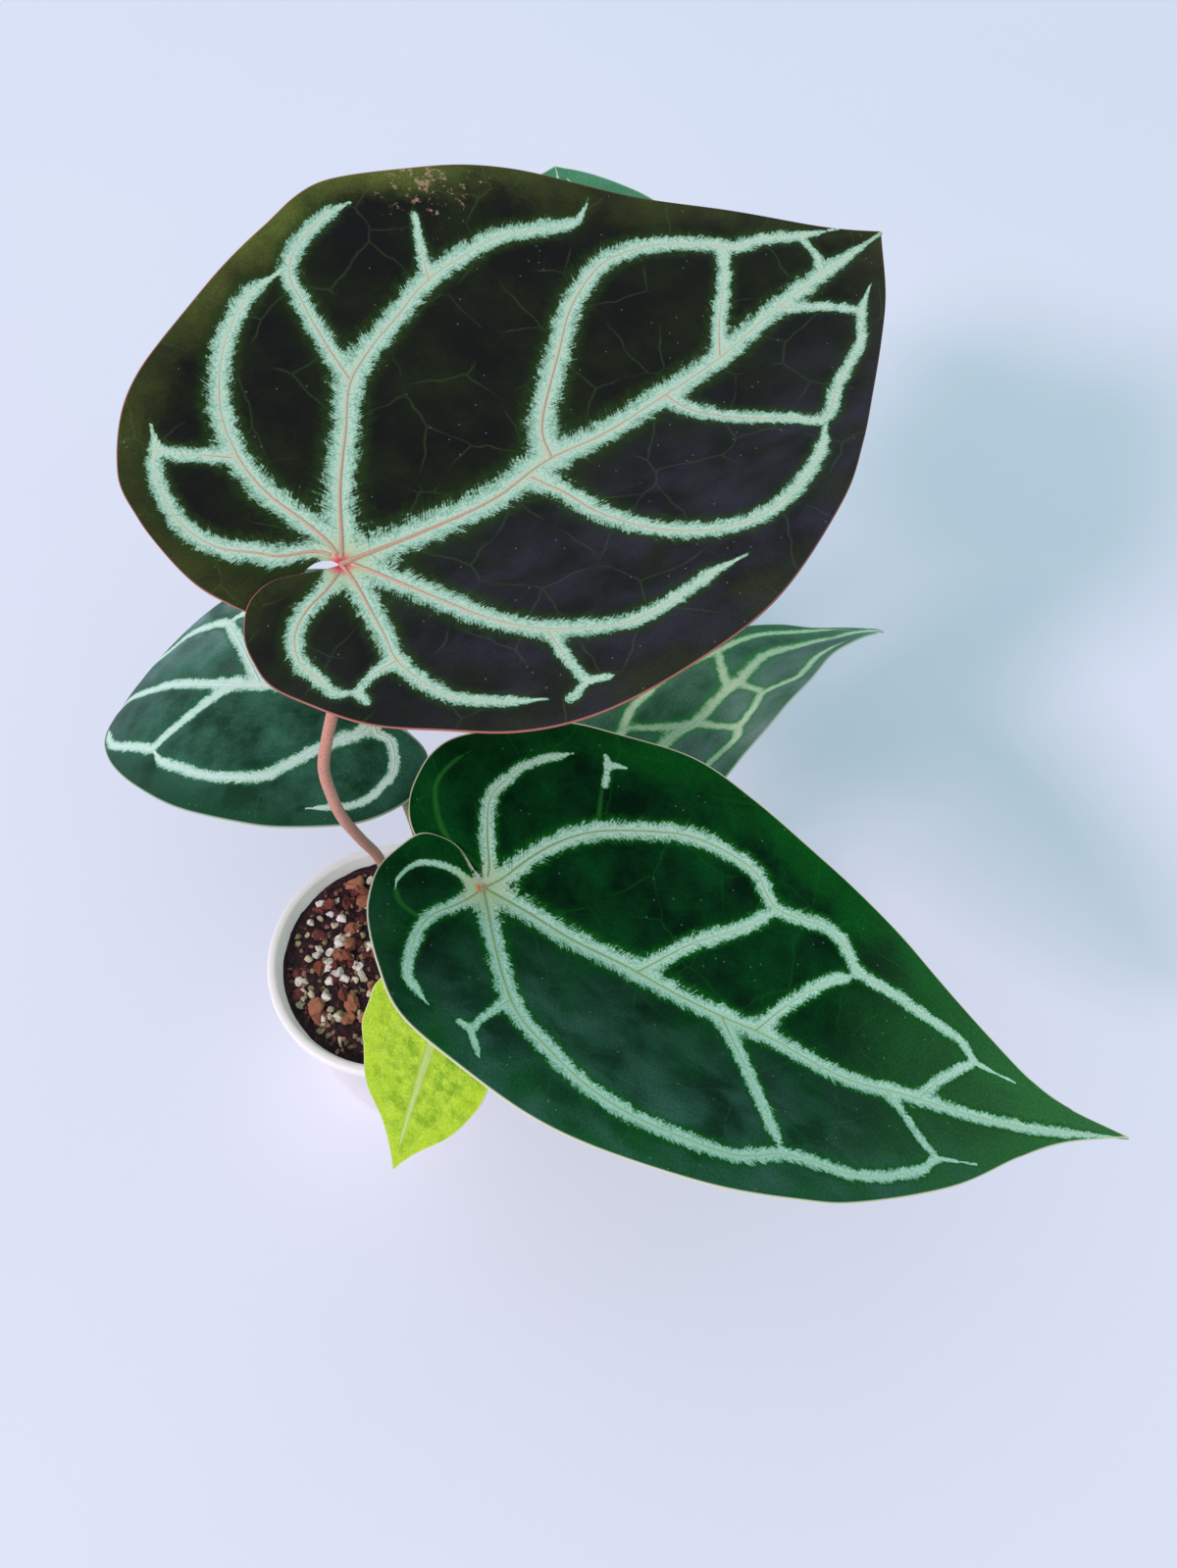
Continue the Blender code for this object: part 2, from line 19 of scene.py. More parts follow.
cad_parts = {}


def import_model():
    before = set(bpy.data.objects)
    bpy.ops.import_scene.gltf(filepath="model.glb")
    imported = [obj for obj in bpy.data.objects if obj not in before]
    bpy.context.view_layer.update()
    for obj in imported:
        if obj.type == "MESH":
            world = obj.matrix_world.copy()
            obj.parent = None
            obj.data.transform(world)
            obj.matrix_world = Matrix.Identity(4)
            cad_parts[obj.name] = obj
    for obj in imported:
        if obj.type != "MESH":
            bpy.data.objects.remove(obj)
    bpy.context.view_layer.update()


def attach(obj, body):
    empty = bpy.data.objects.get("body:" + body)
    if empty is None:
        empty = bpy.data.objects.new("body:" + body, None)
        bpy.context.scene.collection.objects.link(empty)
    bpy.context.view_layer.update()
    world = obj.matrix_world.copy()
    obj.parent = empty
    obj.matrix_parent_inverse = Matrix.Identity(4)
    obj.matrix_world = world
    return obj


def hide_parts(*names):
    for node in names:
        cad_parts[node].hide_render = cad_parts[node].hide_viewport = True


MM = 0.001
LOG = logging.getLogger("potted_anthurium")

# Bend of every blade
OPENING_ANGLE_SHARE = 0.16
OPENING_REACH = 9.0
LOBE_LIFT = 1.35
LOBE_LIFT_REACH = 4.0
LOBE_FROM, LOBE_SPAN = 120.0, 60.0  # degrees from the tip over which the back lobes lift
FOLD_SOFTNESS = 6.0
WAVE_PHASE = 0.6
SPLIT_ANGLE = math.radians(100)  # behind this the two halves of a blade no longer meet
FLAT_UNIT = 100.0  # one unit of a blade's flat map, in millimetres
WEBBING = 2.2  # the lower, the wider the pale webs where bands meet
NOTCH_FROM, NOTCH_SPAN = 80.0, 110.0  # degrees from the tip over which a notch draws the left lobe back

# Measures on the flat blade, in millimetres
FAR = 99.0  # stands for a distance too long to matter
FAR_IN_BANDS = 9.0  # the same in half widths of a band
VEIN_STEP = 0.9
VEIN_REACH = 30  # points further from a vein's box than this aren't measured against it
RUN_SHIFT = 53.0  # keeps the rays of one vein from repeating on the next
QUILT_REACH = 5.0  # the blade bulges between its veins from about this distance on
QUILT_MARGIN = 9.0  # and is level again at its margin over this distance
BLOCK = 4000  # how many points are measured at once

# Raised veins
RIB_STEP = 2.4
RIB_TAPER = 0.72  # share of its thickness that a vein loses to its end
SWELL_REACH = 26.0  # the extra thickness near the attachment falls off over this many millimetres

# The stem, in millimetres
STEM_PLACE = (17.0, 17.0)
STEM_RADIUS = 6.5

# Edges sharper than these aren't smoothed over
BLADE_SHARP = math.radians(50)
POT_SHARP = math.radians(40)

# Sockets of the colour Mix node
FACTOR, FIRST, SECOND, MIXED = 0, 6, 7, 2

Points = tuple[tuple[float, ...], ...]
Pair = tuple[float, float]
Triple = tuple[float, float, float]
Stops = tuple[tuple[float, str], ...]
Socket = bpy.types.NodeSocket
Outputs = bpy.types.bpy_prop_collection

STRAIGHT: Points = ((0.0, 0.0), (240.0, 0.0))  # a line straight ahead, longer than any blade


class Side(Enum):
    """Which half of a blade a vein feeds."""

    LEFT = 1
    MIDDLE = 0
    RIGHT = -1


def linear(code: str) -> tuple[float, float, float, float]:
    """Turn a hex sRGB colour to linear values.

    Args:
        code: the colour as six hex digits after a hash.

    Returns:
        Red, green and blue, linear, and a full alpha.
    """
    values = [int(code[i : i + 2], 16) / 255 for i in (1, 3, 5)]
    red, green, blue = (v / 12.92 if v <= 0.04045 else ((v + 0.055) / 1.055) ** 2.4 for v in values)
    return (red, green, blue, 1.0)


def feed(tree: bpy.types.NodeTree, socket: Socket, value: Any) -> None:
    """Link an output to an input, or give the input a value.

    Args:
        tree: the tree that the sockets are in.
        socket: the input.
        value: an output socket, a hex colour or a plain value.
    """
    if isinstance(value, Socket):
        tree.links.new(value, socket)
    elif isinstance(value, str) and value.startswith("#"):
        socket.default_value = linear(value)
    else:
        socket.default_value = value


def add_node(
    tree: bpy.types.NodeTree, kind: str, inputs: dict | None = None, **settings: Any
) -> bpy.types.Node:
    """Add a node with its settings and links.

    Args:
        tree: the tree that it joins.
        kind: the node's type.
        inputs: a value, a hex colour or an output socket for each named or numbered input.
        **settings: the node's own properties.

    Returns:
        The new node.
    """
    node = tree.nodes.new(kind)
    for name, value in settings.items():
        setattr(node, name, value)
    for key, value in (inputs or {}).items():
        feed(tree, node.inputs[key], value)
    return node


class Graph:
    """A node tree in the making, with short ways to add what its nodes share."""

    def __init__(self, tree: bpy.types.NodeTree) -> None:
        """Add to the given tree."""
        self.tree = tree

    def add(self, kind: str, inputs: dict | None = None, **settings: Any) -> Outputs:
        """Outputs of a new node."""
        return add_node(self.tree, kind, inputs, **settings).outputs

    def math(self, operation: str, *values: Any) -> Socket:
        """Result of a sum on numbers and sockets."""
        return self.add("ShaderNodeMath", dict(enumerate(values)), operation=operation)[0]

    def noise(
        self, place: Socket, scale: float, detail: float, roughness: float = 0.5, distortion: float = 0.0
    ) -> Outputs:
        """Value and colour of a noise pattern."""
        inputs = {"Vector": place, "Scale": scale, "Detail": detail, "Roughness": roughness}
        return self.add("ShaderNodeTexNoise", inputs | {"Distortion": distortion})


class FinishGraph(Graph):
    """A finish in the making: a node material with its Principled shader."""

    def __init__(self, name: str) -> None:
        """Start the material.

        Args:
            name: the finish's name.
        """
        self.material = bpy.data.materials.new(name)
        self.material.use_nodes = True
        super().__init__(self.material.node_tree)

    def place(self) -> Socket:
        """Object coordinates, in metres."""
        return self.add("ShaderNodeTexCoord")["Object"]

    def flat(self) -> Socket:
        """A blade's flat map, in units of FLAT_UNIT."""
        return self.add("ShaderNodeUVMap", uv_map="flat")[0]

    def attribute(self, name: str) -> Socket:
        """A number that the mesh keeps for each point."""
        return self.add("ShaderNodeAttribute", attribute_name=name)["Fac"]

    def axes(self, vector: Socket) -> Outputs:
        """The three parts of a vector."""
        return self.add("ShaderNodeSeparateXYZ", {0: vector})

    def length(self, vector: Socket) -> Socket:
        """Length of a vector."""
        return self.add("ShaderNodeVectorMath", {0: vector}, operation="LENGTH")["Value"]

    def grain(self, place: Socket, scale: float, detail: float, roughness: float = 0.5) -> Socket:
        """Value of a noise pattern, from 0 to 1."""
        return self.noise(place, scale, detail, roughness)["Fac"]

    def streaks(self, place: Socket, scale: Triple, detail: float, **shape: float) -> Socket:
        """Value of a noise pattern with a scale of its own along each axis."""
        drawn = self.add("ShaderNodeMapping", {"Vector": place, "Scale": scale})[0]
        return self.noise(drawn, 1.0, detail, **shape)["Fac"]

    def cells(self, place: Socket, scale: float, **settings: str) -> Outputs:
        """Outputs of a cell pattern."""
        return self.add("ShaderNodeTexVoronoi", {"Vector": place, "Scale": scale}, **settings)

    def fit(
        self, value: Socket, low: Any, high: Any, start: Any = 0.0, end: Any = 1.0, smooth: bool = False
    ) -> Socket:
        """Map a value to another span.

        Args:
            value: what is mapped.
            low: where it starts to change the result.
            high: where it stops.
            start: the result up to low.
            end: the result from high on.
            smooth: whether the change starts and ends softly.

        Returns:
            The result, never outside start and end.
        """
        spans = {"Value": value, "From Min": low, "From Max": high, "To Min": start, "To Max": end}
        kind = "SMOOTHSTEP" if smooth else "LINEAR"
        return self.add("ShaderNodeMapRange", spans, interpolation_type=kind)[0]

    def mix(self, share: Any, first: Any, second: Any, **settings: str) -> Socket:
        """Mix two colours, the more of the second the higher the share."""
        inputs = {FACTOR: share, FIRST: first, SECOND: second}
        return self.add("ShaderNodeMix", inputs, data_type="RGBA", **settings)[MIXED]

    def ramp(self, share: Socket, *stops: tuple[float, str]) -> Socket:
        """Turn a value to a colour.

        Args:
            share: the value.
            *stops: place and hex colour of each stop, in order.

        Returns:
            The colour socket.
        """
        node = add_node(self.tree, "ShaderNodeValToRGB", {"Fac": share})
        elements = node.color_ramp.elements
        while len(elements) < len(stops):
            elements.new(0.5)
        for element, (place, code) in zip(elements, stops):
            element.position = place
            element.color = linear(code)
        return node.outputs[0]

    def bump(self, height: Socket, strength: float, depth: float, **settings: bool) -> Socket:
        """Normal of a surface with a relief as deep as given in millimetres."""
        inputs = {"Strength": strength, "Distance": depth * MM, "Height": height}
        return self.add("ShaderNodeBump", inputs, **settings)[0]

    def surface(self, values: dict[str, Any]) -> bpy.types.Material:
        """Feed the shader's sockets and give the finished material.

        Args:
            values: a value, a hex colour or an output socket for each named input of the shader.

        Returns:
            The finished material.
        """
        shader = self.tree.nodes["Principled BSDF"]
        for name, value in values.items():
            feed(self.tree, shader.inputs[name], value)
        return self.material


class FaceGraph(FinishGraph):
    """A leaf face's finish in the making, with the sockets that its parts share."""

    def __init__(self, name: str) -> None:
        """Start the material with its flat map, distance to the margin and fine grain.

        Args:
            name: the finish's name.
        """
        super().__init__(name)
        self.map = self.flat()
        self.edge = self.attribute("edge")
        # The grain of a velvet face is about 0.9 mm
        self.fine = self.grain(self.map, 115.0, 3.0, 0.7)


class MeshGraph(Graph):
    """A Geometry Nodes tree in the making, with named inputs."""

    def __init__(self, name: str, **inputs: str) -> None:
        """Start the tree.

        Args:
            name: the tree's name.
            **inputs: kind of socket of each input after the geometry.
        """
        super().__init__(bpy.data.node_groups.new(name, "GeometryNodeTree"))
        sockets = self.tree.interface
        sockets.new_socket("Geometry", in_out="INPUT", socket_type="NodeSocketGeometry")
        sockets.new_socket("Geometry", in_out="OUTPUT", socket_type="NodeSocketGeometry")
        for label, kind in inputs.items():
            sockets.new_socket(label, in_out="INPUT", socket_type=f"NodeSocket{kind}")
        self.given = self.add("NodeGroupInput")

    def read(self, name: str) -> Socket:
        """A number that the mesh keeps for each point."""
        return self.add("GeometryNodeInputNamedAttribute", {"Name": name}, data_type="FLOAT")[0]

    def store(self, geometry: Socket, name: str, value: Any, **settings: str) -> Socket:
        """Geometry that keeps a number under a name."""
        inputs = {"Geometry": geometry, "Name": name, "Value": value}
        return self.add("GeometryNodeStoreNamedAttribute", inputs, **settings)[0]

    def draw(self, low: Any, high: Any) -> Socket:
        """A random vector or number for each bit, from the tree's seed.

        Args:
            low: the lowest it can be, three numbers for a vector.
            high: the highest.

        Returns:
            The socket with it.
        """
        first, kind = (0, "FLOAT_VECTOR") if isinstance(low, tuple) else (2, "FLOAT")
        inputs = {first: low, first + 1: high, "Seed": self.given["Seed"]}
        return self.add("FunctionNodeRandomValue", inputs, data_type=kind)[first // 2]

    def scaled(self, vector: Socket, factor: Socket) -> Socket:
        """A vector times a number."""
        return self.add("ShaderNodeVectorMath", {0: vector, "Scale": factor}, operation="SCALE")[0]

    def real(self, geometry: Socket) -> Socket:
        """Geometry with its instances made real."""
        return self.add("GeometryNodeRealizeInstances", {"Geometry": geometry})[0]

    def dressed(self, geometry: Socket) -> Socket:
        """Geometry with the material that the tree is given."""
        inputs = {"Geometry": geometry, "Material": self.given["Material"]}
        return self.add("GeometryNodeSetMaterial", inputs)[0]

    def result(self, geometry: Socket) -> bpy.types.NodeTree:
        """Give the geometry out and the finished tree back."""
        add_node(self.tree, "NodeGroupOutput", {"Geometry": geometry})
        return self.tree


def curve_through(points: Points, gap: float) -> np.ndarray:
    """Points on a Catmull-Rom curve through the given ones.

    Args:
        points: two or more points of the same length.
        gap: about how far apart the new points lie.

    Returns:
        One row for each new point.
    """
    given = np.array(points, dtype=float)
    ends = np.vstack([2 * given[0] - given[1], given, 2 * given[-1] - given[-2]])
    found = []
    for i in range(1, len(ends) - 2):
        a, b, c, d = ends[i - 1 : i + 3]
        steps = max(1, round(float(np.linalg.norm(c - b)) / gap))
        t = (np.arange(steps) / steps)[:, None]
        turn, end = 2 * a - 5 * b + 4 * c - d, 3 * b - a - 3 * c + d
        found.append(0.5 * (2 * b + (c - a) * t + turn * t**2 + end * t**3))
    return np.vstack([*found, given[-1:]])


def circle(radius: float, sides: int) -> list[Pair]:
    """Points of a circle round the origin, one for each side."""
    turns = [math.tau * side / sides for side in range(sides)]
    return [(radius * math.cos(turn), radius * math.sin(turn)) for turn in turns]


def plain_object(name: str, mesh: bpy.types.Mesh) -> bpy.types.Object:
    """Link a mesh to the scene as an object at the origin.

    Args:
        name: the object's name.
        mesh: its mesh.

    Returns:
        The object.
    """
    obj = bpy.data.objects.new(name, mesh)
    bpy.context.scene.collection.objects.link(obj)
    return obj


def facing_out(mesh: bpy.types.Mesh) -> None:
    """Turn a closed mesh's faces outwards when its volume says that they point inwards.

    Args:
        mesh: the mesh, which is changed in place.
    """
    shape = bmesh.new()
    shape.from_mesh(mesh)
    if shape.calc_volume(signed=True) < 0:
        bmesh.ops.reverse_faces(shape, faces=shape.faces)
    shape.to_mesh(mesh)
    shape.free()


def apply_tree(obj: bpy.types.Object, tree: bpy.types.NodeTree, values: dict[str, Any]) -> None:
    """Run a Geometry Nodes tree on an object and keep its result as a plain mesh.

    Args:
        obj: the object whose mesh the tree reads and replaces.
        tree: the tree.
        values: a value for each named input.
    """
    modifier = obj.modifiers.new(tree.name, "NODES")
    modifier.node_group = tree
    sockets = {item.name: item.identifier for item in tree.interface.items_tree if item.item_type == "SOCKET"}
    for name, value in values.items():
        modifier[sockets[name]] = value
    graph = bpy.context.evaluated_depsgraph_get()
    graph.update()
    mesh = bpy.data.meshes.new_from_object(obj.evaluated_get(graph), depsgraph=graph)
    obj.modifiers.remove(modifier)
    old = obj.data
    obj.data = mesh
    bpy.data.meshes.remove(old)
    mesh.name = obj.name


def cord_tree() -> bpy.types.NodeTree:
    """Tree that turns polylines into round cords as thick as their girth attribute says.

    Returns:
        The tree.
    """
    graph = MeshGraph("cord_along_path", Sides="Int", Thickness="Float", Material="Material")
    path = graph.add("GeometryNodeMeshToCurve", {"Mesh": graph.given["Geometry"]})[0]
    marked = graph.store(path, "along", graph.add("GeometryNodeSplineParameter")["Factor"])
    scale = graph.math("MULTIPLY", graph.read("girth"), graph.given["Thickness"])
    ring = {"Resolution": graph.given["Sides"], "Radius": 1.0}
    profile = graph.add("GeometryNodeCurvePrimitiveCircle", ring)[0]
    shape = {"Curve": marked, "Profile Curve": profile, "Scale": scale, "Fill Caps": True}
    smooth = graph.add("GeometryNodeSetShadeSmooth", {0: graph.add("GeometryNodeCurveToMesh", shape)[0]})[0]
    return graph.result(graph.dressed(graph.real(smooth)))


def cords(
    name: str, paths: list[tuple[np.ndarray, np.ndarray]], sides: int, material: bpy.types.Material
) -> bpy.types.Object:
    """Round cords along paths, as one object.

    Args:
        name: the object's name.
        paths: for each cord its points, in millimetres, and its half thickness at each.
        sides: how many sides a cord has round it.
        material: its finish.

    Returns:
        The object, with a plain mesh.
    """
    places, edges, girths = [], [], []
    for line, girth in paths:
        start = len(places)
        places += [tuple(place * MM) for place in line]
        edges += [(start + i, start + i + 1) for i in range(len(line) - 1)]
        girths += [value * MM for value in girth]
    mesh = bpy.data.meshes.new(name)
    mesh.from_pydata(places, edges, [])
    mesh.attributes.new("girth", "FLOAT", "POINT").data.foreach_set("value", girths)
    obj = plain_object(name, mesh)
    tree = bpy.data.node_groups.get("cord_along_path") or cord_tree()
    apply_tree(obj, tree, {"Sides": sides, "Thickness": 1.0, "Material": material})
    facing_out(obj.data)
    return obj


@dataclass(frozen=True)
class Pose:
    """Place of a blade's attachment and how the blade bends: degrees, and bends per metre."""

    place: Triple
    heading: float
    rise: float
    roll: float
    droop: float
    droop_growth: float
    fold: float
    cup: float

    def directions(self) -> tuple[np.ndarray, np.ndarray, np.ndarray]:
        """The blade's own directions: towards its tip, to its left, and up from its face.

        Returns:
            The three directions, each one unit long.
        """
        heading, rise, roll = (math.radians(value) for value in (self.heading, self.rise, self.roll))
        level_part = math.cos(rise)
        tipward = np.array((math.cos(heading) * level_part, math.sin(heading) * level_part, math.sin(rise)))
        level = np.array((-math.sin(heading), math.cos(heading), 0.0))
        leftward = level * math.cos(roll) + np.cross(tipward, level) * math.sin(roll)
        return tipward, leftward, np.cross(tipward, leftward)


@dataclass(frozen=True)
class Vein:
    """A vein on the flat blade: its points, half the width of its pale band at both ends, and its side.

    A faint vein has no pale band, only its raised line.
    """

    points: Points
    wide: float
    narrow: float
    side: Side = Side.MIDDLE
    raised: bool = True
    faint: bool = False


@dataclass(frozen=True)
class VelvetFinish:
    """Living velvet leaf face: microscopic cone cells make it dark and matt, and grey where light grazes it.

    The bands along the veins are a pale mint. Fine rays that run square to the vein fray their edges.
    """

    name: str
    interior: str
    interior_light: str
    near_margin: str
    # Colour of the painted sheen, the grey reflection of the sky on the blade's right half
    painted_sheen_tint: str
    halo: str
    mint: str
    mint_deep: str
    margin: str
    spot: str
    fine: str
    core: str
    glow: str = "#b9cd9c"
    margin_width: float = 0.4
    margin_ends: Pair = (8.0, 9.0)
    spot_radius: float = 4.0
    glow_radius: float = 15.0
    margin_reach: float = 16.0
    halo_reach: float = 1.9
    feather: float = 1.5
    fade: float = 0.3
    sheen: float = 0.06
    gloss: float = 0.13
    fine_strength: float = 0.2
    nap: float = 1.0
    faint_tint: str = "#2c7d2c"
    faint_strength: float = 0.5
    net_scale: float = 4.2
    cloud_scale: float = 3.5
    dust: float = 0.35
    halo_strength: float = 1.0
    margin_right: float = 1.0
    margin_tip: float = 1.0
    tip_tint: str = ""
    tip_span: Pair = (1.2, 2.4)
    scarred: bool = False

    def make(self) -> bpy.types.Material:
        """Build the material from the blade's flat map and its vein, run, edge and faint attributes.

        Returns:
            The material.
        """
        graph = FaceGraph(self.name)
        frayed = self.frayed(graph)
        band = graph.fit(frayed, 1.0 - self.fade / 2, 1.0 + self.fade / 2, 1.0, 0.0, smooth=True)
        halo = graph.fit(frayed, 0.9, self.halo_reach, self.halo_strength, 0.0, smooth=True)
        haloed = graph.mix(halo, self.ground(graph), self.halo)
        banded = graph.mix(band, haloed, self.band_colour(graph, frayed))
        raised = graph.math("MULTIPLY_ADD", band, 0.6, graph.fine)
        return graph.surface(
            {
                "Base Color": self.rim_and_spot(graph, banded),
                "Normal": graph.bump(raised, 0.25, 0.3),
                "Roughness": graph.fit(graph.fine, 0.0, 1.0, 0.5, 0.7),
                "Specular IOR Level": self.gloss,
                "Sheen Weight": self.sheen,
                "Sheen Roughness": 0.4,
                "Sheen Tint": "#aebfe0",
            }
        )

    def frayed(self, graph: FaceGraph) -> Socket:
        """Distance to the vein over its band's half width, disturbed so that the band's edge frays.

        Args:
            graph: the finish in the making.

        Returns:
            The disturbed distance, which is about 1 at the edge of the band.
        """
        vein = graph.attribute("vein")
        # Rays are about 0.5 mm wide, long across the band's edge, and lean towards the tip
        lean = graph.math("MULTIPLY_ADD", vein, -2.2, graph.attribute("run"))
        place = graph.add("ShaderNodeCombineXYZ", {"X": lean, "Y": vein})[0]
        rays = graph.streaks(place, (1.9, 0.2, 1.0), 3.0, roughness=0.6)
        # The band is wider and narrower in turns of about 4 mm
        patches = graph.grain(graph.map, 28.0, 4.0, 0.65)
        total = vein
        for source, weight in ((rays, self.feather), (patches, 1.7), (graph.fine, 1.2)):
            total = graph.math("MULTIPLY_ADD", graph.math("SUBTRACT", source, 0.5), weight, total)
        return total

    def band_colour(self, graph: FaceGraph, frayed: Socket) -> Socket:
        """Colour of the pale bands: grainy mint, deeper at the edges and yellower round the attachment.

        Args:
            graph: the finish in the making.
            frayed: the disturbed distance to the vein.

        Returns:
            The colour socket.
        """
        outer = graph.fit(frayed, 0.3, 1.05)
        share = graph.math("MULTIPLY_ADD", outer, 0.45, graph.fine)
        grainy = graph.ramp(share, (0.42, self.mint), (0.84, self.mint_deep))
        cored = graph.mix(graph.fit(frayed, -0.1, 0.45, 0.6, 0.0, smooth=True), grainy, self.core)
        reach = self.glow_radius / FLAT_UNIT
        near = graph.fit(graph.length(graph.map), 0.0, reach, 0.85, 0.0, smooth=True)
        return graph.mix(near, cored, self.glow)

    def ground(self, graph: FaceGraph) -> Socket:
        """Colour between the veins: cloudy, lighter at the margin, with a painted grey sheen on the right
        half.

        Args:
            graph: the finish in the making.

        Returns:
            The colour socket, with the thin veins and the dust.
        """
        clouds = graph.grain(graph.map, self.cloud_scale, 6.0, 0.65)
        colour = graph.ramp(clouds, (0.4, self.interior), (0.64, self.interior_light))
        axes = graph.axes(graph.map)
        ahead = graph.fit(axes["X"], -0.1, 0.25, 0.35, smooth=True)
        reach = graph.math("MULTIPLY", clouds, self.margin_reach * 2.0)
        light = graph.fit(graph.edge, 0.0, reach, 0.95, 0.0, smooth=True)
        broken = graph.fit(clouds, 0.35, 0.6, 0.45)
        sided = graph.fit(axes["Y"], -0.2, 0.25, self.margin_right)
        tipward = graph.fit(axes["X"], 0.9, 1.5, 1.0, self.margin_tip)
        for share in (broken, sided, ahead, tipward):
            light = graph.math("MULTIPLY", light, share)
        colour = graph.mix(light, colour, self.near_margin)
        if self.tip_tint:
            colour = graph.mix(graph.fit(axes["X"], *self.tip_span, 0.0, 0.9), colour, self.tip_tint)
        # Painted sheen: the sky's grey reflection, laid on the right half in soft patches about 12 mm wide
        # and 20 mm long
        patches = graph.streaks(graph.map, (5.0, 8.0, 1.0), 3.0, distortion=0.3)
        rightward = graph.fit(axes["Y"], 0.1, -0.45, 0.0, 0.9, smooth=True)
        painted_sheen = graph.math("MULTIPLY", rightward, graph.fit(patches, 0.4, 0.68, 0.2))
        colour = graph.mix(graph.math("MULTIPLY", painted_sheen, ahead), colour, self.painted_sheen_tint)
        return self.worn(graph, self.thin_veins(graph, colour))

    def thin_veins(self, graph: FaceGraph, colour: Socket) -> Socket:
        """Add the net of thin veins and the soft lines of the faint ones.

        Args:
            graph: the finish in the making.
            colour: the colour so far.

        Returns:
            The colour socket.
        """
        wandering = graph.mix(0.06, graph.map, graph.noise(graph.map, 7.0, 2.0)["Color"])
        pattern = {"feature": "DISTANCE_TO_EDGE", "voronoi_dimensions": "2D"}
        net = graph.cells(wandering, self.net_scale, **pattern)["Distance"]
        thread = graph.fit(net, 0.004, 0.022, self.fine_strength, 0.0)
        # The thin veins fade out here and there
        shown = graph.fit(graph.grain(graph.map, 5.0, 1.0), 0.4, 0.52)
        colour = graph.mix(graph.math("MULTIPLY", thread, shown), colour, self.fine)
        torn = graph.math("MULTIPLY_ADD", graph.fine, 0.8, graph.attribute("faint"))
        soft = graph.fit(torn, 0.5, 1.5, self.faint_strength, 0.0, smooth=True)
        return graph.mix(soft, colour, self.faint_tint)

    def worn(self, graph: FaceGraph, colour: Socket) -> Socket:
        """Add specks of dust, about 0.4 mm and 16 mm apart, and the glitter of the velvet's cells.

        Args:
            graph: the finish in the making.
            colour: the colour so far.

        Returns:
            The colour socket.
        """
        cells = graph.cells(graph.map, 34.0, voronoi_dimensions="2D")
        chosen = graph.math("GREATER_THAN", graph.axes(cells["Color"])["X"], 0.965)
        speck = graph.math("MULTIPLY", chosen, graph.fit(cells["Distance"], 0.05, 0.11, self.dust, 0.0))
        dusty = graph.mix(speck, colour, "#9aa89a")
        glitter = graph.fit(graph.fine, 0.3, 0.7, 1 - 0.3 * self.nap, 1 + 0.35 * self.nap)
        return graph.mix(1.0, dusty, glitter, blend_type="MULTIPLY")

    def rim_and_spot(self, graph: FaceGraph, colour: Socket) -> Socket:
        """Add the coloured margin line, the spot over the stalk and, where the blade has them, scars.

        Args:
            graph: the finish in the making.
            colour: the colour so far.

        Returns:
            The colour socket.
        """
        weight = graph.fit(graph.axes(graph.map)["X"], *self.margin_ends, 0.9, 0.2)
        line = graph.fit(graph.edge, self.margin_width * 0.5, self.margin_width * 2.0, weight, 0.0)
        lined = graph.mix(line, colour, self.margin)
        radius = self.spot_radius / FLAT_UNIT
        spot = graph.fit(graph.length(graph.map), 0.2 * radius, radius, 0.95, 0.0, smooth=True)
        spotted = graph.mix(spot, lined, self.spot)
        return self.scars(graph, spotted) if self.scarred else spotted

    def scars(self, graph: FaceGraph, colour: Socket) -> Socket:
        """Add the dry tan scars that lie near the margin on the leaf's left side.

        Args:
            graph: the finish in the making.
            colour: the colour so far.

        Returns:
            The colour socket.
        """
        middle = {0: graph.map, 1: (1.0, 1.1, 0.0)}
        gap = graph.add("ShaderNodeVectorMath", middle, operation="DISTANCE")["Value"]
        patchy = graph.grain(graph.map, 26.0, 5.0, 0.75)
        both = graph.math("ADD", patchy, graph.fit(gap, 0.0, 0.34, 0.1, -0.12))
        return graph.mix(graph.fit(both, 0.6, 0.65, 0.0, 0.75), colour, "#a98f70")


@dataclass(frozen=True)
class UndersideFinish:
    """Back of a velvet leaf: paler than the face and faintly glossy, with the veins showing lighter."""

    name: str
    flesh: str
    flesh_light: str
    vein: str

    def make(self) -> bpy.types.Material:
        """Build the material from the blade's flat map and its vein attribute.

        Returns:
            The material.
        """
        graph = FinishGraph(self.name)
        flat = graph.flat()
        flesh = graph.ramp(graph.grain(flat, 7.0, 5.0), (0.35, self.flesh), (0.7, self.flesh_light))
        band = graph.fit(graph.attribute("vein"), 0.5, 1.4, 0.75, 0.0)
        net = graph.cells(flat, 22.0, feature="DISTANCE_TO_EDGE")["Distance"]
        return graph.surface(
            {
                "Base Color": graph.mix(band, flesh, self.vein),
                "Normal": graph.bump(net, 0.3, 0.3, invert=True),
                "Roughness": 0.5,
                "Specular IOR Level": 0.4,
            }
        )


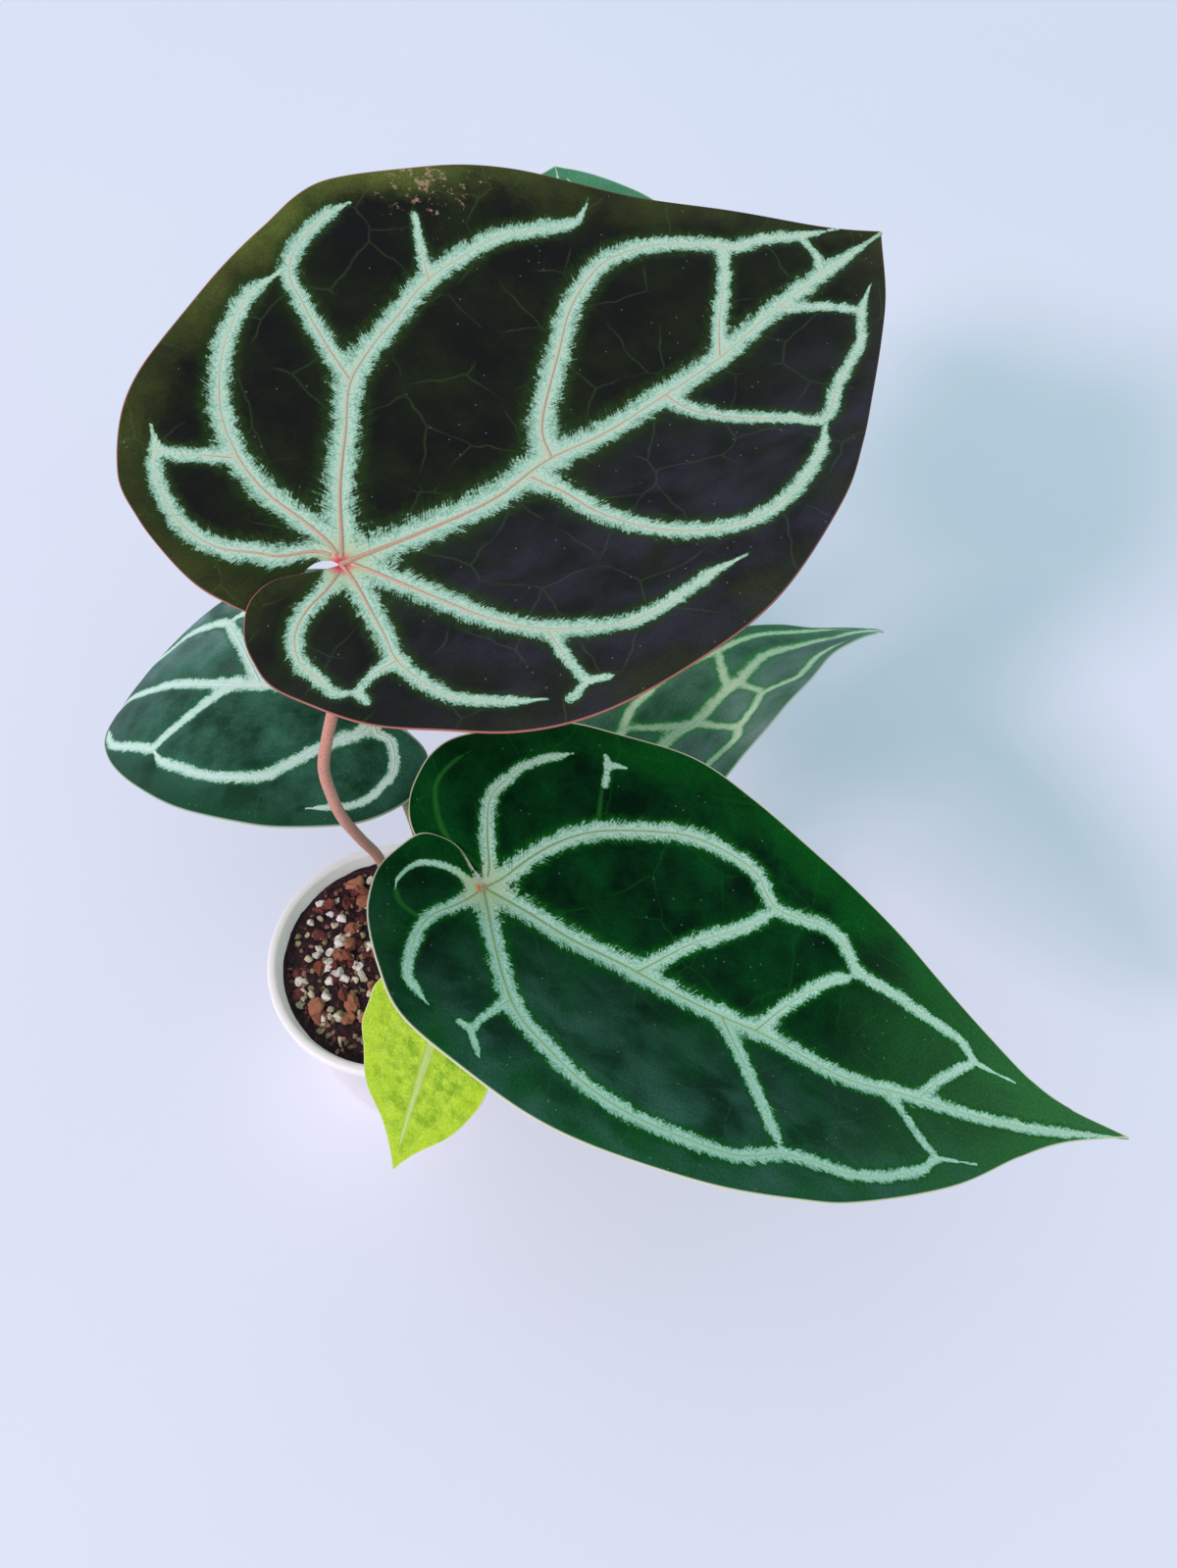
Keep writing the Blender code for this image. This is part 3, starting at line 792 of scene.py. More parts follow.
@dataclass(frozen=True)
class StalkFinish:
    """Skin of a leaf stalk: smooth and waxy, streaked along its length and freckled."""

    name: str
    foot: str
    top: str
    freckle: str
    streak: float = 0.5

    def make(self) -> bpy.types.Material:
        """Build the material from object coordinates and the cord's along attribute.

        Returns:
            The material.
        """
        graph = FinishGraph(self.name)
        place = graph.place()
        # Streaks are about 1 mm wide and 12 mm long
        streaks = graph.streaks(place, (900.0, 900.0, 80.0), 3.0)
        share = graph.math("MULTIPLY_ADD", streaks, self.streak, graph.attribute("along"))
        skin = graph.ramp(share, (0.3, self.foot), (1.0, self.top))
        freckles = graph.fit(graph.grain(place, 1300.0, 1.0), 0.6, 0.68, 0.0, 0.55)
        return graph.surface(
            {
                "Base Color": graph.mix(freckles, skin, self.freckle),
                "Normal": graph.bump(streaks, 0.25, 0.2),
                "Roughness": 0.42,
            }
        )


@dataclass(frozen=True)
class ToneFinish:
    """Loose bits of the mix: each takes its own tone from the tone attribute, with a dusty, pitted skin."""

    name: str
    stops: Stops
    grain: float
    roughness: float = 0.9

    def make(self) -> bpy.types.Material:
        """Build the material from the tone attribute and object coordinates.

        Returns:
            The material.
        """
        graph = FinishGraph(self.name)
        # Pits and dust are drawn at the given grain, in millimetres
        dust = graph.grain(graph.place(), 1000.0 / self.grain, 4.0, 0.7)
        share = graph.math("MULTIPLY_ADD", dust, 0.35, graph.attribute("tone"))
        return graph.surface(
            {
                "Base Color": graph.ramp(graph.math("SUBTRACT", share, 0.17), *self.stops),
                "Normal": graph.bump(dust, 0.6, 0.5),
                "Roughness": self.roughness,
            }
        )


@dataclass(frozen=True)
class FrostedPolypropylene:
    """Blow-moulded polypropylene: milky, faintly see-through, satin, with a light haze of scuffs and dust."""

    name: str = "frosted_polypropylene"
    milk: str = "#f8f7ee"
    shadow: str = "#efeee6"
    # Strength of the painted glow, an emission that stands in for light carried through the wall
    glow: float = 0.06

    def make(self) -> bpy.types.Material:
        """Build the material from object coordinates.

        Returns:
            The material.
        """
        graph = FinishGraph(self.name)
        place = graph.place()
        milk = graph.ramp(graph.grain(place, 45.0, 5.0), (0.35, self.shadow), (0.65, self.milk))
        scuffs = graph.grain(place, 400.0, 3.0)
        # Painted glow: a faint emission in the milk colour lifts even the shaded side, standing in for the
        # light that the milky wall carries round inside itself
        return graph.surface(
            {
                "Base Color": milk,
                "Roughness": graph.fit(scuffs, 0.0, 1.0, 0.34, 0.55),
                "Normal": graph.bump(scuffs, 0.12, 0.3),
                "Subsurface Weight": 1.0,
                "Subsurface Radius": (1.0, 1.0, 0.9),
                "Subsurface Scale": 0.006,
                "IOR": 1.49,
                "Emission Color": milk,
                "Emission Strength": self.glow,
            }
        )


@dataclass(frozen=True)
class StemBark:
    """Young aroid stem: green-brown and fibrous, with ring scars where old leaves stood."""

    name: str = "ringed_stem"

    def make(self) -> bpy.types.Material:
        """Build the material from object coordinates.

        Returns:
            The material.
        """
        graph = FinishGraph(self.name)
        # Fibres are about 0.6 mm wide and stand upright
        fibres = graph.streaks(graph.place(), (1600.0, 1600.0, 180.0), 4.0)
        return graph.surface(
            {
                "Base Color": graph.ramp(fibres, (0.3, "#4a3a22"), (0.52, "#6e6a38"), (0.75, "#9a8a5c")),
                "Normal": graph.bump(fibres, 0.6, 0.5),
                "Roughness": 0.75,
            }
        )


@dataclass(frozen=True)
class PaperFloor:
    """Matt backdrop paper, pale and slightly lavender."""

    name: str = "backdrop_paper"
    colour: str = "#e5edf9"
    light: str = "#e9f0fb"

    def make(self) -> bpy.types.Material:
        """Build the material from object coordinates.

        Returns:
            The material.
        """
        graph = FinishGraph(self.name)
        clouds = graph.grain(graph.place(), 2.0, 3.0)
        paper = graph.ramp(clouds, (0.3, self.colour), (0.7, self.light))
        return graph.surface({"Base Color": paper, "Roughness": 0.95, "Specular IOR Level": 0.1})


@dataclass
class Leaf:
    """A leaf blade with its veins, bent from a flat drawing."""

    name: str
    slot: str
    pose: Pose
    left: Points
    right: Points
    veins: tuple[Vein, ...]
    face: VelvetFinish
    underside: UndersideFinish
    rib_colours: tuple[str, str]
    crest: Points = STRAIGHT
    spine: Points = STRAIGHT
    wave: float = 0.7
    waves: int = 9
    lobe_over: float = 0.0
    notch: float = 0.0
    notch_reach: float = 10.0
    thickness: float = 0.6
    spoke_gap: float = 1.7
    ring_gap: float = 2.1
    quilt: float = 0.8
    rib_radius: float = 0.55
    thread_radius: float = 0.3
    swell: float = 0.3
    band_width: float = 1.0

    def __post_init__(self) -> None:
        """Work out the outline as angles and reaches round the attachment."""
        right = curve_through(tuple((x, -y) for x, y in self.right), self.spoke_gap)
        left = curve_through(self.left, self.spoke_gap)
        around = np.vstack([right[::-1], left[1:]])
        straight = around[:, 1] - self.offset(around[:, 0])
        angles = np.arctan2(straight, around[:, 0])
        tip = len(right) - 1
        order = np.arange(len(around))
        angles[(order < tip) & (angles > math.pi / 2)] -= math.tau
        angles[(order > tip) & (angles < -math.pi / 2)] += math.tau
        # Spokes keep their order, also where the margin runs straight at the tip
        self.angles = np.maximum.accumulate(angles) + order * 1e-5
        self.reaches = np.hypot(around[:, 0], straight)
        ahead = self.reaches * np.cos(self.angles)
        self.outline = np.c_[ahead, self.reaches * np.sin(self.angles) + self.offset(ahead)]

    def offset(self, ahead: np.ndarray) -> np.ndarray:
        """How far the line that the spokes follow lies beside the straight one."""
        return np.interp(ahead, [p[0] for p in self.spine], [p[1] for p in self.spine])

    def moved(self, angle: np.ndarray, radius: np.ndarray, way: int) -> tuple[np.ndarray, np.ndarray]:
        """Move points between the spokes' own directions and the flat blade's.

        Args:
            angle: direction of each point from the attachment.
            radius: its distance from the attachment.
            way: 1 from the spokes to the flat blade, -1 back.

        Returns:
            The points' angles and radii there.
        """
        ahead = radius * np.cos(angle)
        aside = radius * np.sin(angle) + way * self.offset(ahead)
        front = ahead > 0
        turned = np.where(front, np.arctan2(aside, ahead), angle)
        return turned, np.where(front, np.hypot(ahead, aside), radius)

    def midrib(self, along: np.ndarray) -> tuple[np.ndarray, np.ndarray, np.ndarray]:
        """Follow the bent midrib.

        Args:
            along: lengths from the attachment, below zero behind it.

        Returns:
            For each length the distance ahead, the height and the slope.
        """
        steps = 8
        bend, growth = self.pose.droop * MM, self.pose.droop_growth * MM * MM
        reach = np.maximum(along, 0.0)
        ahead, height = np.zeros_like(along), np.zeros_like(along)
        for i in range(steps):
            part = reach * (i + 0.5) / steps
            slope = -(bend * part + growth * part**2 / 2)
            ahead += np.cos(slope) * along / steps
            height += np.sin(slope) * along / steps
        return ahead, height, -(bend * reach + growth * reach**2 / 2)

    def bent(self, angle: np.ndarray, radius: np.ndarray, relief: np.ndarray) -> np.ndarray:
        """Bend points of the flat blade to their places.

        Args:
            angle: direction of each point from the attachment, unwrapped past half a turn on the back lobes.
            radius: its distance from the attachment.
            relief: how far it stands up from the smooth blade.

        Returns:
            One row of x, y and z for each point, in millimetres.
        """
        spoke, reach = self.moved(angle, radius, -1)
        share = np.clip(reach / np.interp(spoke, self.angles, self.reaches), 0, 1)
        turned = angle * (1 - OPENING_ANGLE_SHARE * np.exp(-radius / OPENING_REACH))
        behind = np.clip((np.degrees(angle) - NOTCH_FROM) / NOTCH_SPAN, 0, 1)
        turned -= math.radians(self.notch) * behind * np.exp(-((radius / self.notch_reach) ** 2))
        along, out = radius * np.cos(turned), radius * np.sin(turned)
        crest = np.interp(along, [p[0] for p in self.crest], [p[1] for p in self.crest])
        folded = np.hypot(out - crest, FOLD_SOFTNESS) + np.hypot(crest, FOLD_SOFTNESS) - 2 * FOLD_SOFTNESS
        raised = self.pose.fold * folded + self.pose.cup * MM * out**2 / 2 + relief
        raised += self.wave * share**3 * np.sin(self.waves * angle + WAVE_PHASE)
        back = np.clip((np.degrees(np.abs(angle)) - LOBE_FROM) / LOBE_SPAN, 0, 1)
        lift = LOBE_LIFT * (1 - np.exp(-radius / LOBE_LIFT_REACH)) * back**2 * (3 - 2 * back)
        raised -= np.sign(angle) * lift * self.lobe_over
        ahead, height, slope = self.midrib(along)
        tipward, leftward, upward = self.pose.directions()
        ahead = ahead - raised * np.sin(slope)
        height = height + raised * np.cos(slope)
        sideways = np.array(self.pose.place) + np.outer(ahead, tipward) + np.outer(out, leftward)
        return sideways + np.outer(height, upward)

    def vein_fields(
        self, angle: np.ndarray, radius: np.ndarray, faint: bool = False
    ) -> tuple[np.ndarray, np.ndarray, np.ndarray]:
        """Measure points against the veins.

        Args:
            angle: direction of each point from the attachment.
            radius: its distance from the attachment.
            faint: whether to measure against the faint veins and not the others.

        Returns:
            Distance to the nearest band's middle over its half width, where near bands melt together, length
            along that vein in millimetres, and plain distance to the nearest vein in millimetres.
        """
        x, y = (radius * np.cos(angle)).astype(np.float32), (radius * np.sin(angle)).astype(np.float32)
        best = np.full(len(x), FAR_IN_BANDS, dtype=np.float32)
        union = np.full(len(x), math.exp(-FAR_IN_BANDS * WEBBING), dtype=np.float32)
        run = np.zeros(len(x), dtype=np.float32)
        nearest = np.full(len(x), FAR, dtype=np.float32)
        for number, vein in enumerate(self.veins):
            if vein.faint is not faint:
                continue
            line = curve_through(vein.points, VEIN_STEP).astype(np.float32)
            steps = np.r_[0, np.cumsum(np.hypot(*np.diff(line, axis=0).T))]
            share = steps / steps[-1]
            half = (vein.wide + (vein.narrow - vein.wide) * share) * self.band_width
            # Over its last ninth a band narrows to a quarter
            half = (half * np.clip((1 - share) * 9, 0.25, 1)).astype(np.float32)
            allowed = np.abs(angle) < SPLIT_ANGLE
            if vein.side is not Side.MIDDLE:
                allowed |= np.sign(angle) == vein.side.value
            at = np.flatnonzero(allowed)
            low, high = line.min(axis=0) - VEIN_REACH, line.max(axis=0) + VEIN_REACH
            at = at[(x[at] > low[0]) & (x[at] < high[0]) & (y[at] > low[1]) & (y[at] < high[1])]
            heading = np.gradient(line, axis=0)
            heading /= np.linalg.norm(heading, axis=1, keepdims=True)
            for block in np.array_split(at, max(1, len(at) // BLOCK)):
                gaps = np.hypot(x[block, None] - line[None, :, 0], y[block, None] - line[None, :, 1])
                pick = (gaps / half[None, :]).argmin(axis=1)
                away = np.c_[x[block], y[block]] - line[pick]
                slid = np.clip((away * heading[pick]).sum(axis=1), -0.5, 0.5)
                gap = np.sqrt(np.maximum((away**2).sum(axis=1) - slid**2, 0))
                nearest[block] = np.minimum(nearest[block], gap)
                value = gap / half[pick]
                union[block] += np.exp(-WEBBING * value)
                better = value < best[block]
                best[block[better]] = value[better]
                run[block[better]] = steps[pick[better]] + slid[better] + RUN_SHIFT * number
        return -np.log(union) / WEBBING, run, nearest

    def margin_gap(self, angle: np.ndarray, radius: np.ndarray) -> np.ndarray:
        """Distance of each point to the margin of its own half, in millimetres.

        Args:
            angle: direction of each point from the attachment.
            radius: its distance from the attachment.

        Returns:
            The distances.
        """
        x, y = radius * np.cos(angle), radius * np.sin(angle)
        gap = np.full(len(x), FAR)
        for side in (1, -1):
            wanted = np.flatnonzero(angle > 0 if side == 1 else angle <= 0)
            own = self.outline[self.angles * side > -math.pi / 2]
            for block in np.array_split(wanted, max(1, len(wanted) // BLOCK)):
                gaps = np.hypot(x[block, None] - own[None, :, 0], y[block, None] - own[None, :, 1])
                gap[block] = gaps.min(axis=1)
        return gap

    def layer(self, rings: int) -> dict[str, np.ndarray]:
        """Points of one face of the blade, with what the finishes read.

        Args:
            rings: how many rings of points lie round the attachment.

        Returns:
            Places, upward normals, flat map and attributes, the attachment first.
        """
        shares = np.arange(1, rings + 1) / rings
        angle = np.r_[0.0, np.repeat(self.angles, rings)]
        radius = np.r_[0.0, (self.reaches[:, None] * shares).ravel()]
        angle, radius = self.moved(angle, radius, 1)
        vein, run, nearest = self.vein_fields(angle, radius)
        faint, _, _ = self.vein_fields(angle, radius, faint=True)
        edge = self.margin_gap(angle, radius)
        edge[0] = edge[1:].max()
        bulge = 1 - np.exp(-((nearest / QUILT_REACH) ** 2))
        relief = self.quilt * bulge * np.clip(edge / QUILT_MARGIN, 0, 1)
        places = self.bent(angle, radius, relief)
        grid = places[1:].reshape(len(self.angles), rings, 3)
        normals = np.cross(np.gradient(grid, axis=1), np.gradient(grid, axis=0)).reshape(-1, 3)
        _, _, upward = self.pose.directions()
        normals = np.vstack([upward, normals])
        lengths = np.linalg.norm(normals, axis=1, keepdims=True)
        normals = np.where(lengths > 1e-6, normals / np.maximum(lengths, 1e-9), upward)
        flat = np.c_[radius * np.cos(angle), radius * np.sin(angle)] / FLAT_UNIT
        fields = {"vein": vein, "run": run, "edge": edge, "faint": faint}
        return {"places": places, "normals": normals, "flat": flat} | fields

    def blade_faces(self, rings: int, under_rings: int) -> tuple[list[tuple[int, ...]], list[int]]:
        """Faces of the closed blade.

        Args:
            rings: how many rings of points the face has, a whole number of times the underside's.
            under_rings: how many the underside has, whose points follow those of the face.

        Returns:
            The points of each face and its material slot: 1 on the underside, 0 elsewhere.
        """
        count, step = len(self.angles), rings // under_rings
        base = 1 + count * rings
        faces: list[tuple[int, ...]] = []
        slots: list[int] = []
        for i in range(count - 1):
            here, after = 1 + i * rings, 1 + (i + 1) * rings
            faces.append((0, here, after))
            faces += [(here + r, here + r + 1, after + r + 1, after + r) for r in range(rings - 1)]
            slots += [0] * rings
            under, beside = base + 1 + i * under_rings, base + 1 + (i + 1) * under_rings
            faces.append((base, beside, under))
            faces += [(under + r + 1, under + r, beside + r, beside + r + 1) for r in range(under_rings - 1)]
            slots += [1] * under_rings
            # The margin closes the blade between the two outermost rings
            last, low = rings - 1, under_rings - 1
            faces.append((here + last, under + low, beside + low, after + last))
            slots.append(0)
        # The edges of the sinus close it along the first and the last spoke
        for spoke, turned in ((0, True), (count - 1, False)):
            upper, lower = 1 + spoke * rings, base + 1 + spoke * under_rings
            for k in range(under_rings):
                first = [0] if k == 0 else [upper + k * step - 1]
                over = first + [upper + k * step + j for j in range(step)]
                wall = over + [lower + k, base if k == 0 else lower + k - 1]
                faces.append(tuple(reversed(wall)) if turned else tuple(wall))
                slots.append(0)
        return faces, slots

    def build_blade(self) -> bpy.types.Object:
        """Build the closed blade: a fine face, a coarser underside, the margin and the sinus edges.

        Returns:
            The blade with both its finishes.
        """
        # The face has four rings of points for each one of the underside
        step = 4
        under_rings = max(4, round(float(self.reaches.max()) / self.ring_gap / step))
        rings = under_rings * step
        top, low = self.layer(rings), self.layer(under_rings)
        places = np.vstack([top["places"], low["places"] - low["normals"] * self.thickness])
        faces, slots = self.blade_faces(rings, under_rings)
        mesh = bpy.data.meshes.new(self.name)
        mesh.from_pydata((places * MM).tolist(), [], faces)
        mesh.polygons.foreach_set("material_index", slots)
        for label in ("vein", "run", "edge", "faint"):
            values = np.r_[top[label], low[label]].astype(np.float32)
            mesh.attributes.new(label, "FLOAT", "POINT").data.foreach_set("value", values)
        corners = np.empty(len(mesh.loops), dtype=np.int32)
        mesh.loops.foreach_get("vertex_index", corners)
        flat = np.vstack([top["flat"], low["flat"]])[corners].astype(np.float32)
        mesh.uv_layers.new(name="flat").data.foreach_set("uv", flat.ravel())
        mesh.materials.append(self.face.make())
        mesh.materials.append(self.underside.make())
        mesh.shade_smooth()
        mesh.set_sharp_from_angle(angle=BLADE_SHARP)
        return plain_object(f"{self.name}_blade", mesh)

    def vein_paths(
        self, sink: float, girth: float, swell: float = 0.0, faint: bool = False
    ) -> list[tuple[np.ndarray, np.ndarray]]:
        """Lines of the raised veins on one face.

        Args:
            sink: how far below the face a line lies.
            girth: half thickness of the thickest vein.
            swell: how much thicker a vein is where it leaves the attachment.
            faint: whether the faint veins are wanted and not the others.

        Returns:
            For each vein its points and its half thickness at each.
        """
        widest = max(vein.wide for vein in self.veins)
        _, _, upward = self.pose.directions()
        paths = []
        for vein in self.veins:
            if not vein.raised or vein.faint is not faint:
                continue
            line = curve_through(vein.points, RIB_STEP)
            radius = np.hypot(line[:, 0], line[:, 1])
            angle = np.arctan2(line[:, 1], line[:, 0])
            if vein.side is Side.RIGHT:
                angle = np.where(angle > SPLIT_ANGLE, angle - math.tau, angle)
            if vein.side is Side.LEFT:
                angle = np.where(angle < -SPLIT_ANGLE, angle + math.tau, angle)
            places = self.bent(angle, radius, np.full(len(line), -sink))
            share = np.linspace(0, 1, len(line))
            thick = girth * vein.wide / widest * (1 - RIB_TAPER * share)
            paths.append((places, thick * (1 + swell * np.exp(-radius / SWELL_REACH))))
        return paths

    def build_ribs(self) -> list[bpy.types.Object]:
        """Build the fine raised lines on the face and the round ribs beneath.

        Returns:
            One object for each kind of vein.
        """
        pale, deep = self.rib_colours
        back, fine = self.underside, self.face.fine
        above = StalkFinish(f"{self.name}_centre_lines", deep, pale, pale, 0.3).make()
        below = StalkFinish(f"{self.name}_back_ribs", back.vein, back.flesh_light, pale).make()
        # The lines lie a little below the face and the ribs a little below the underside
        upper = self.vein_paths(0.1, self.rib_radius, self.swell)
        lower = self.vein_paths(self.thickness + 0.1, self.rib_radius * 1.9)
        found = [
            cords(f"{self.name}_lines", upper, 8, above),
            cords(f"{self.name}_ribs", lower, 10, below),
        ]
        threads = self.vein_paths(0.05, self.thread_radius, faint=True)
        if threads:
            dim = StalkFinish(f"{self.name}_thin_veins", fine, fine, self.face.halo, 0.3).make()
            found.append(cords(f"{self.name}_threads", threads, 6, dim))
        return found

    def build(self) -> list[bpy.types.Object]:
        """Build the blade and its ribs and let the blade stand for its solid.

        Returns:
            The blade and its veins.
        """
        blade = self.build_blade()
        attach(blade, "root")
        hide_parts(self.name)
        pieces = [blade]
        for piece in self.build_ribs():
            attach(piece, "root")
            pieces.append(piece)
        return pieces

    def seat(self) -> tuple[np.ndarray, np.ndarray]:
        """Place on the blade where its stalk ends, and the upward direction there.

        Returns:
            The place, in millimetres, and the direction.
        """
        _, _, upward = self.pose.directions()
        under = self.bent(np.array([0.0]), np.array([2.0]), np.array([0.0]))[0]
        return under, upward


@dataclass
class Stalk:
    """A leaf's stalk, from the stem to the swollen joint under the blade."""

    name: str
    slot: str
    leaf: Leaf
    azimuth: float
    height: float
    route: Points
    radius: float
    finish: StalkFinish
    stem_place: Pair = STEM_PLACE
    stem_radius: float = STEM_RADIUS
    knuckle: float = 7.0
    foot_swell: float = 0.3
    foot_reach: float = 9.0
    joint_swell: float = 0.2
    joint_depth: float = 5.0
    sides: int = 20

    def build(self) -> bpy.types.Object:
        """Build the stalk along its route, thicker at its foot and at its joint.

        Returns:
            The stalk.
        """
        # It leaves the stem straight outwards and meets the blade square from below
        azimuth = math.radians(self.azimuth)
        outward = np.array((math.cos(azimuth), math.sin(azimuth), 0.0))
        foot = np.array((*self.stem_place, self.height)) + outward * (self.stem_radius - 1.0)
        leaving = foot + outward * (1.3 + self.radius * 0.9)
        seat, upward = self.leaf.seat()
        top = seat - upward * (self.leaf.thickness * 0.5)
        below = seat - upward * (self.knuckle + 2.6)
        line = curve_through((tuple(foot), tuple(leaving), *self.route, tuple(below), tuple(top)), 1.6)
        steps = np.r_[0, np.cumsum(np.linalg.norm(np.diff(line, axis=0), axis=1))]
        left = steps[-1] - steps
        swell = 1.0 + self.foot_swell * np.exp(-((steps / self.foot_reach) ** 2))
        swell += self.joint_swell * np.exp(-(((left - self.joint_depth) / self.joint_depth) ** 2))
        # Faint rings near the joint, and a narrower end where it meets the blade
        swell += 0.02 * np.sin(steps * 0.9) * np.exp(-left / 40)
        swell *= np.where(left < 1.2, 0.75, 1.0)
        stalk = cords(self.name + "_skin", [(line, self.radius * swell)], self.sides, self.finish.make())
        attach(stalk, "root")
        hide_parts(self.name)
        return stalk


@dataclass
class NurseryPot:
    """The round pot with its rolled rim and drain holes."""

    height: float = 88.0
    rim_radius: float = 50.0
    rim_depth: float = 5.5
    roll: float = 0.9
    wall: float = 1.2
    base_radius: float = 42.5
    neck_radius: float = 46.3
    floor: float = 1.5
    sides: int = 144
    drains: int = 8
    drain_radius: float = 3.5
    drain_circle: float = 30.0

    def wall_radius(self, height: float) -> float:
        """Outer radius of the wall at a height."""
        neck = self.height - self.rim_depth
        return self.base_radius + (self.neck_radius - self.base_radius) * height / neck

    def profile(self) -> list[tuple[float, float]]:
        """Half section from the floor's middle up the inside, over the rolled rim and down the outside.

        Returns:
            Radius and height of each corner.
        """
        neck = self.height - self.rim_depth
        lip = self.rim_radius - 1.0
        roll, turn = self.roll, (0.0, 0.5, 1.05, math.pi / 2)
        start, end, level = self.neck_radius + 0.2, self.rim_radius - roll, self.height - roll
        inner_turn = [(start + roll * (1 - math.cos(t)), level + roll * math.sin(t)) for t in turn]
        outer_turn = [(end + roll * math.sin(t), level + roll * math.cos(t)) for t in turn]
        return [
            (0, self.floor),
            (self.base_radius - self.wall - 2.0, self.floor),
            (self.base_radius - self.wall - 0.8, self.floor + 0.5),
            (self.wall_radius(self.floor + 2.0) - self.wall, self.floor + 2.0),
            (self.wall_radius(neck) - self.wall, neck),
            *inner_turn,
            *outer_turn,
            (self.rim_radius, neck + 0.3),
            (self.rim_radius - 0.3, neck),
            (lip, neck),
            (lip, self.height - 2.2),
            (lip - 0.4, self.height - 1.9),
            (self.neck_radius + 1.8, self.height - 1.9),
            (self.neck_radius + 1.4, self.height - 2.4),
            (self.wall_radius(neck), neck - 1.0),
            (self.wall_radius(30.0), 30.0),
            (self.base_radius + 0.2, 1.2),
            (self.base_radius - 0.1, 0.4),
            (self.base_radius - 0.8, 0),
            (0, 0),
        ]

    def build(self) -> bpy.types.Object:
        """Turn the profile, cut the drain holes and dress the pot.

        Returns:
            The pot.
        """
        profile = self.profile()
        mesh = bpy.data.meshes.new("pot_shell")
        edges = [(i, i + 1) for i in range(len(profile) - 1)]
        mesh.from_pydata([(r * MM, 0, z * MM) for r, z in profile], edges, [])
        pot = plain_object("pot_shell", mesh)
        screw = pot.modifiers.new("turn", "SCREW")
        screw.steps = self.sides
        screw.render_steps = self.sides
        screw.use_merge_vertices = True
        screw.merge_threshold = 0.00001
        cutters = [self.drain(i, pot) for i in range(self.drains)]
        graph = bpy.context.evaluated_depsgraph_get()
        graph.update()
        pot.data = bpy.data.meshes.new_from_object(pot.evaluated_get(graph))
        pot.modifiers.clear()
        for cutter in cutters:
            bpy.data.objects.remove(cutter, do_unlink=True)
        facing_out(pot.data)
        pot.data.materials.clear()
        pot.data.materials.append(FrostedPolypropylene().make())
        pot.data.shade_smooth()
        pot.data.set_sharp_from_angle(angle=POT_SHARP)
        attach(pot, "root")
        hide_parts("pot")
        return pot

    def drain(self, number: int, pot: bpy.types.Object) -> bpy.types.Object:
        """Make one drain hole's cutter and its Boolean on the pot.

        Args:
            number: which hole, counted round the floor.
            pot: the object that is cut.

        Returns:
            The cutter.
        """
        angle = math.tau * (number + 0.5) / self.drains
        shape = bmesh.new()
        size = self.drain_radius * MM
        bmesh.ops.create_cone(shape, cap_ends=True, segments=24, radius1=size, radius2=size, depth=12 * MM)
        middle = Vector((self.drain_circle * math.cos(angle), self.drain_circle * math.sin(angle), 0)) * MM
        bmesh.ops.translate(shape, verts=shape.verts, vec=middle)
        mesh = bpy.data.meshes.new("drain")
        shape.to_mesh(mesh)
        shape.free()
        cutter = plain_object(f"drain_{number}", mesh)
        cut = pot.modifiers.new("drain", "BOOLEAN")
        cut.operation = "DIFFERENCE"
        cut.object = cutter
        return cutter


EARTH_TONES = ((0.1, "#12060a"), (0.5, "#270f15"), (0.9, "#50292c"))
COIR_TONES = ((0.0, "#190b10"), (0.45, "#3c1d22"), (0.8, "#6b3d3e"), (1.0, "#a87a70"))
BARK_TONES = ((0.0, "#35141a"), (0.4, "#6d3430"), (0.7, "#834a36"), (1.0, "#b07a58"))
PUMICE_TONES = ((0.0, "#5c5a34"), (0.35, "#9a9468"), (0.65, "#cbc5a8"), (1.0, "#f4f2ec"))


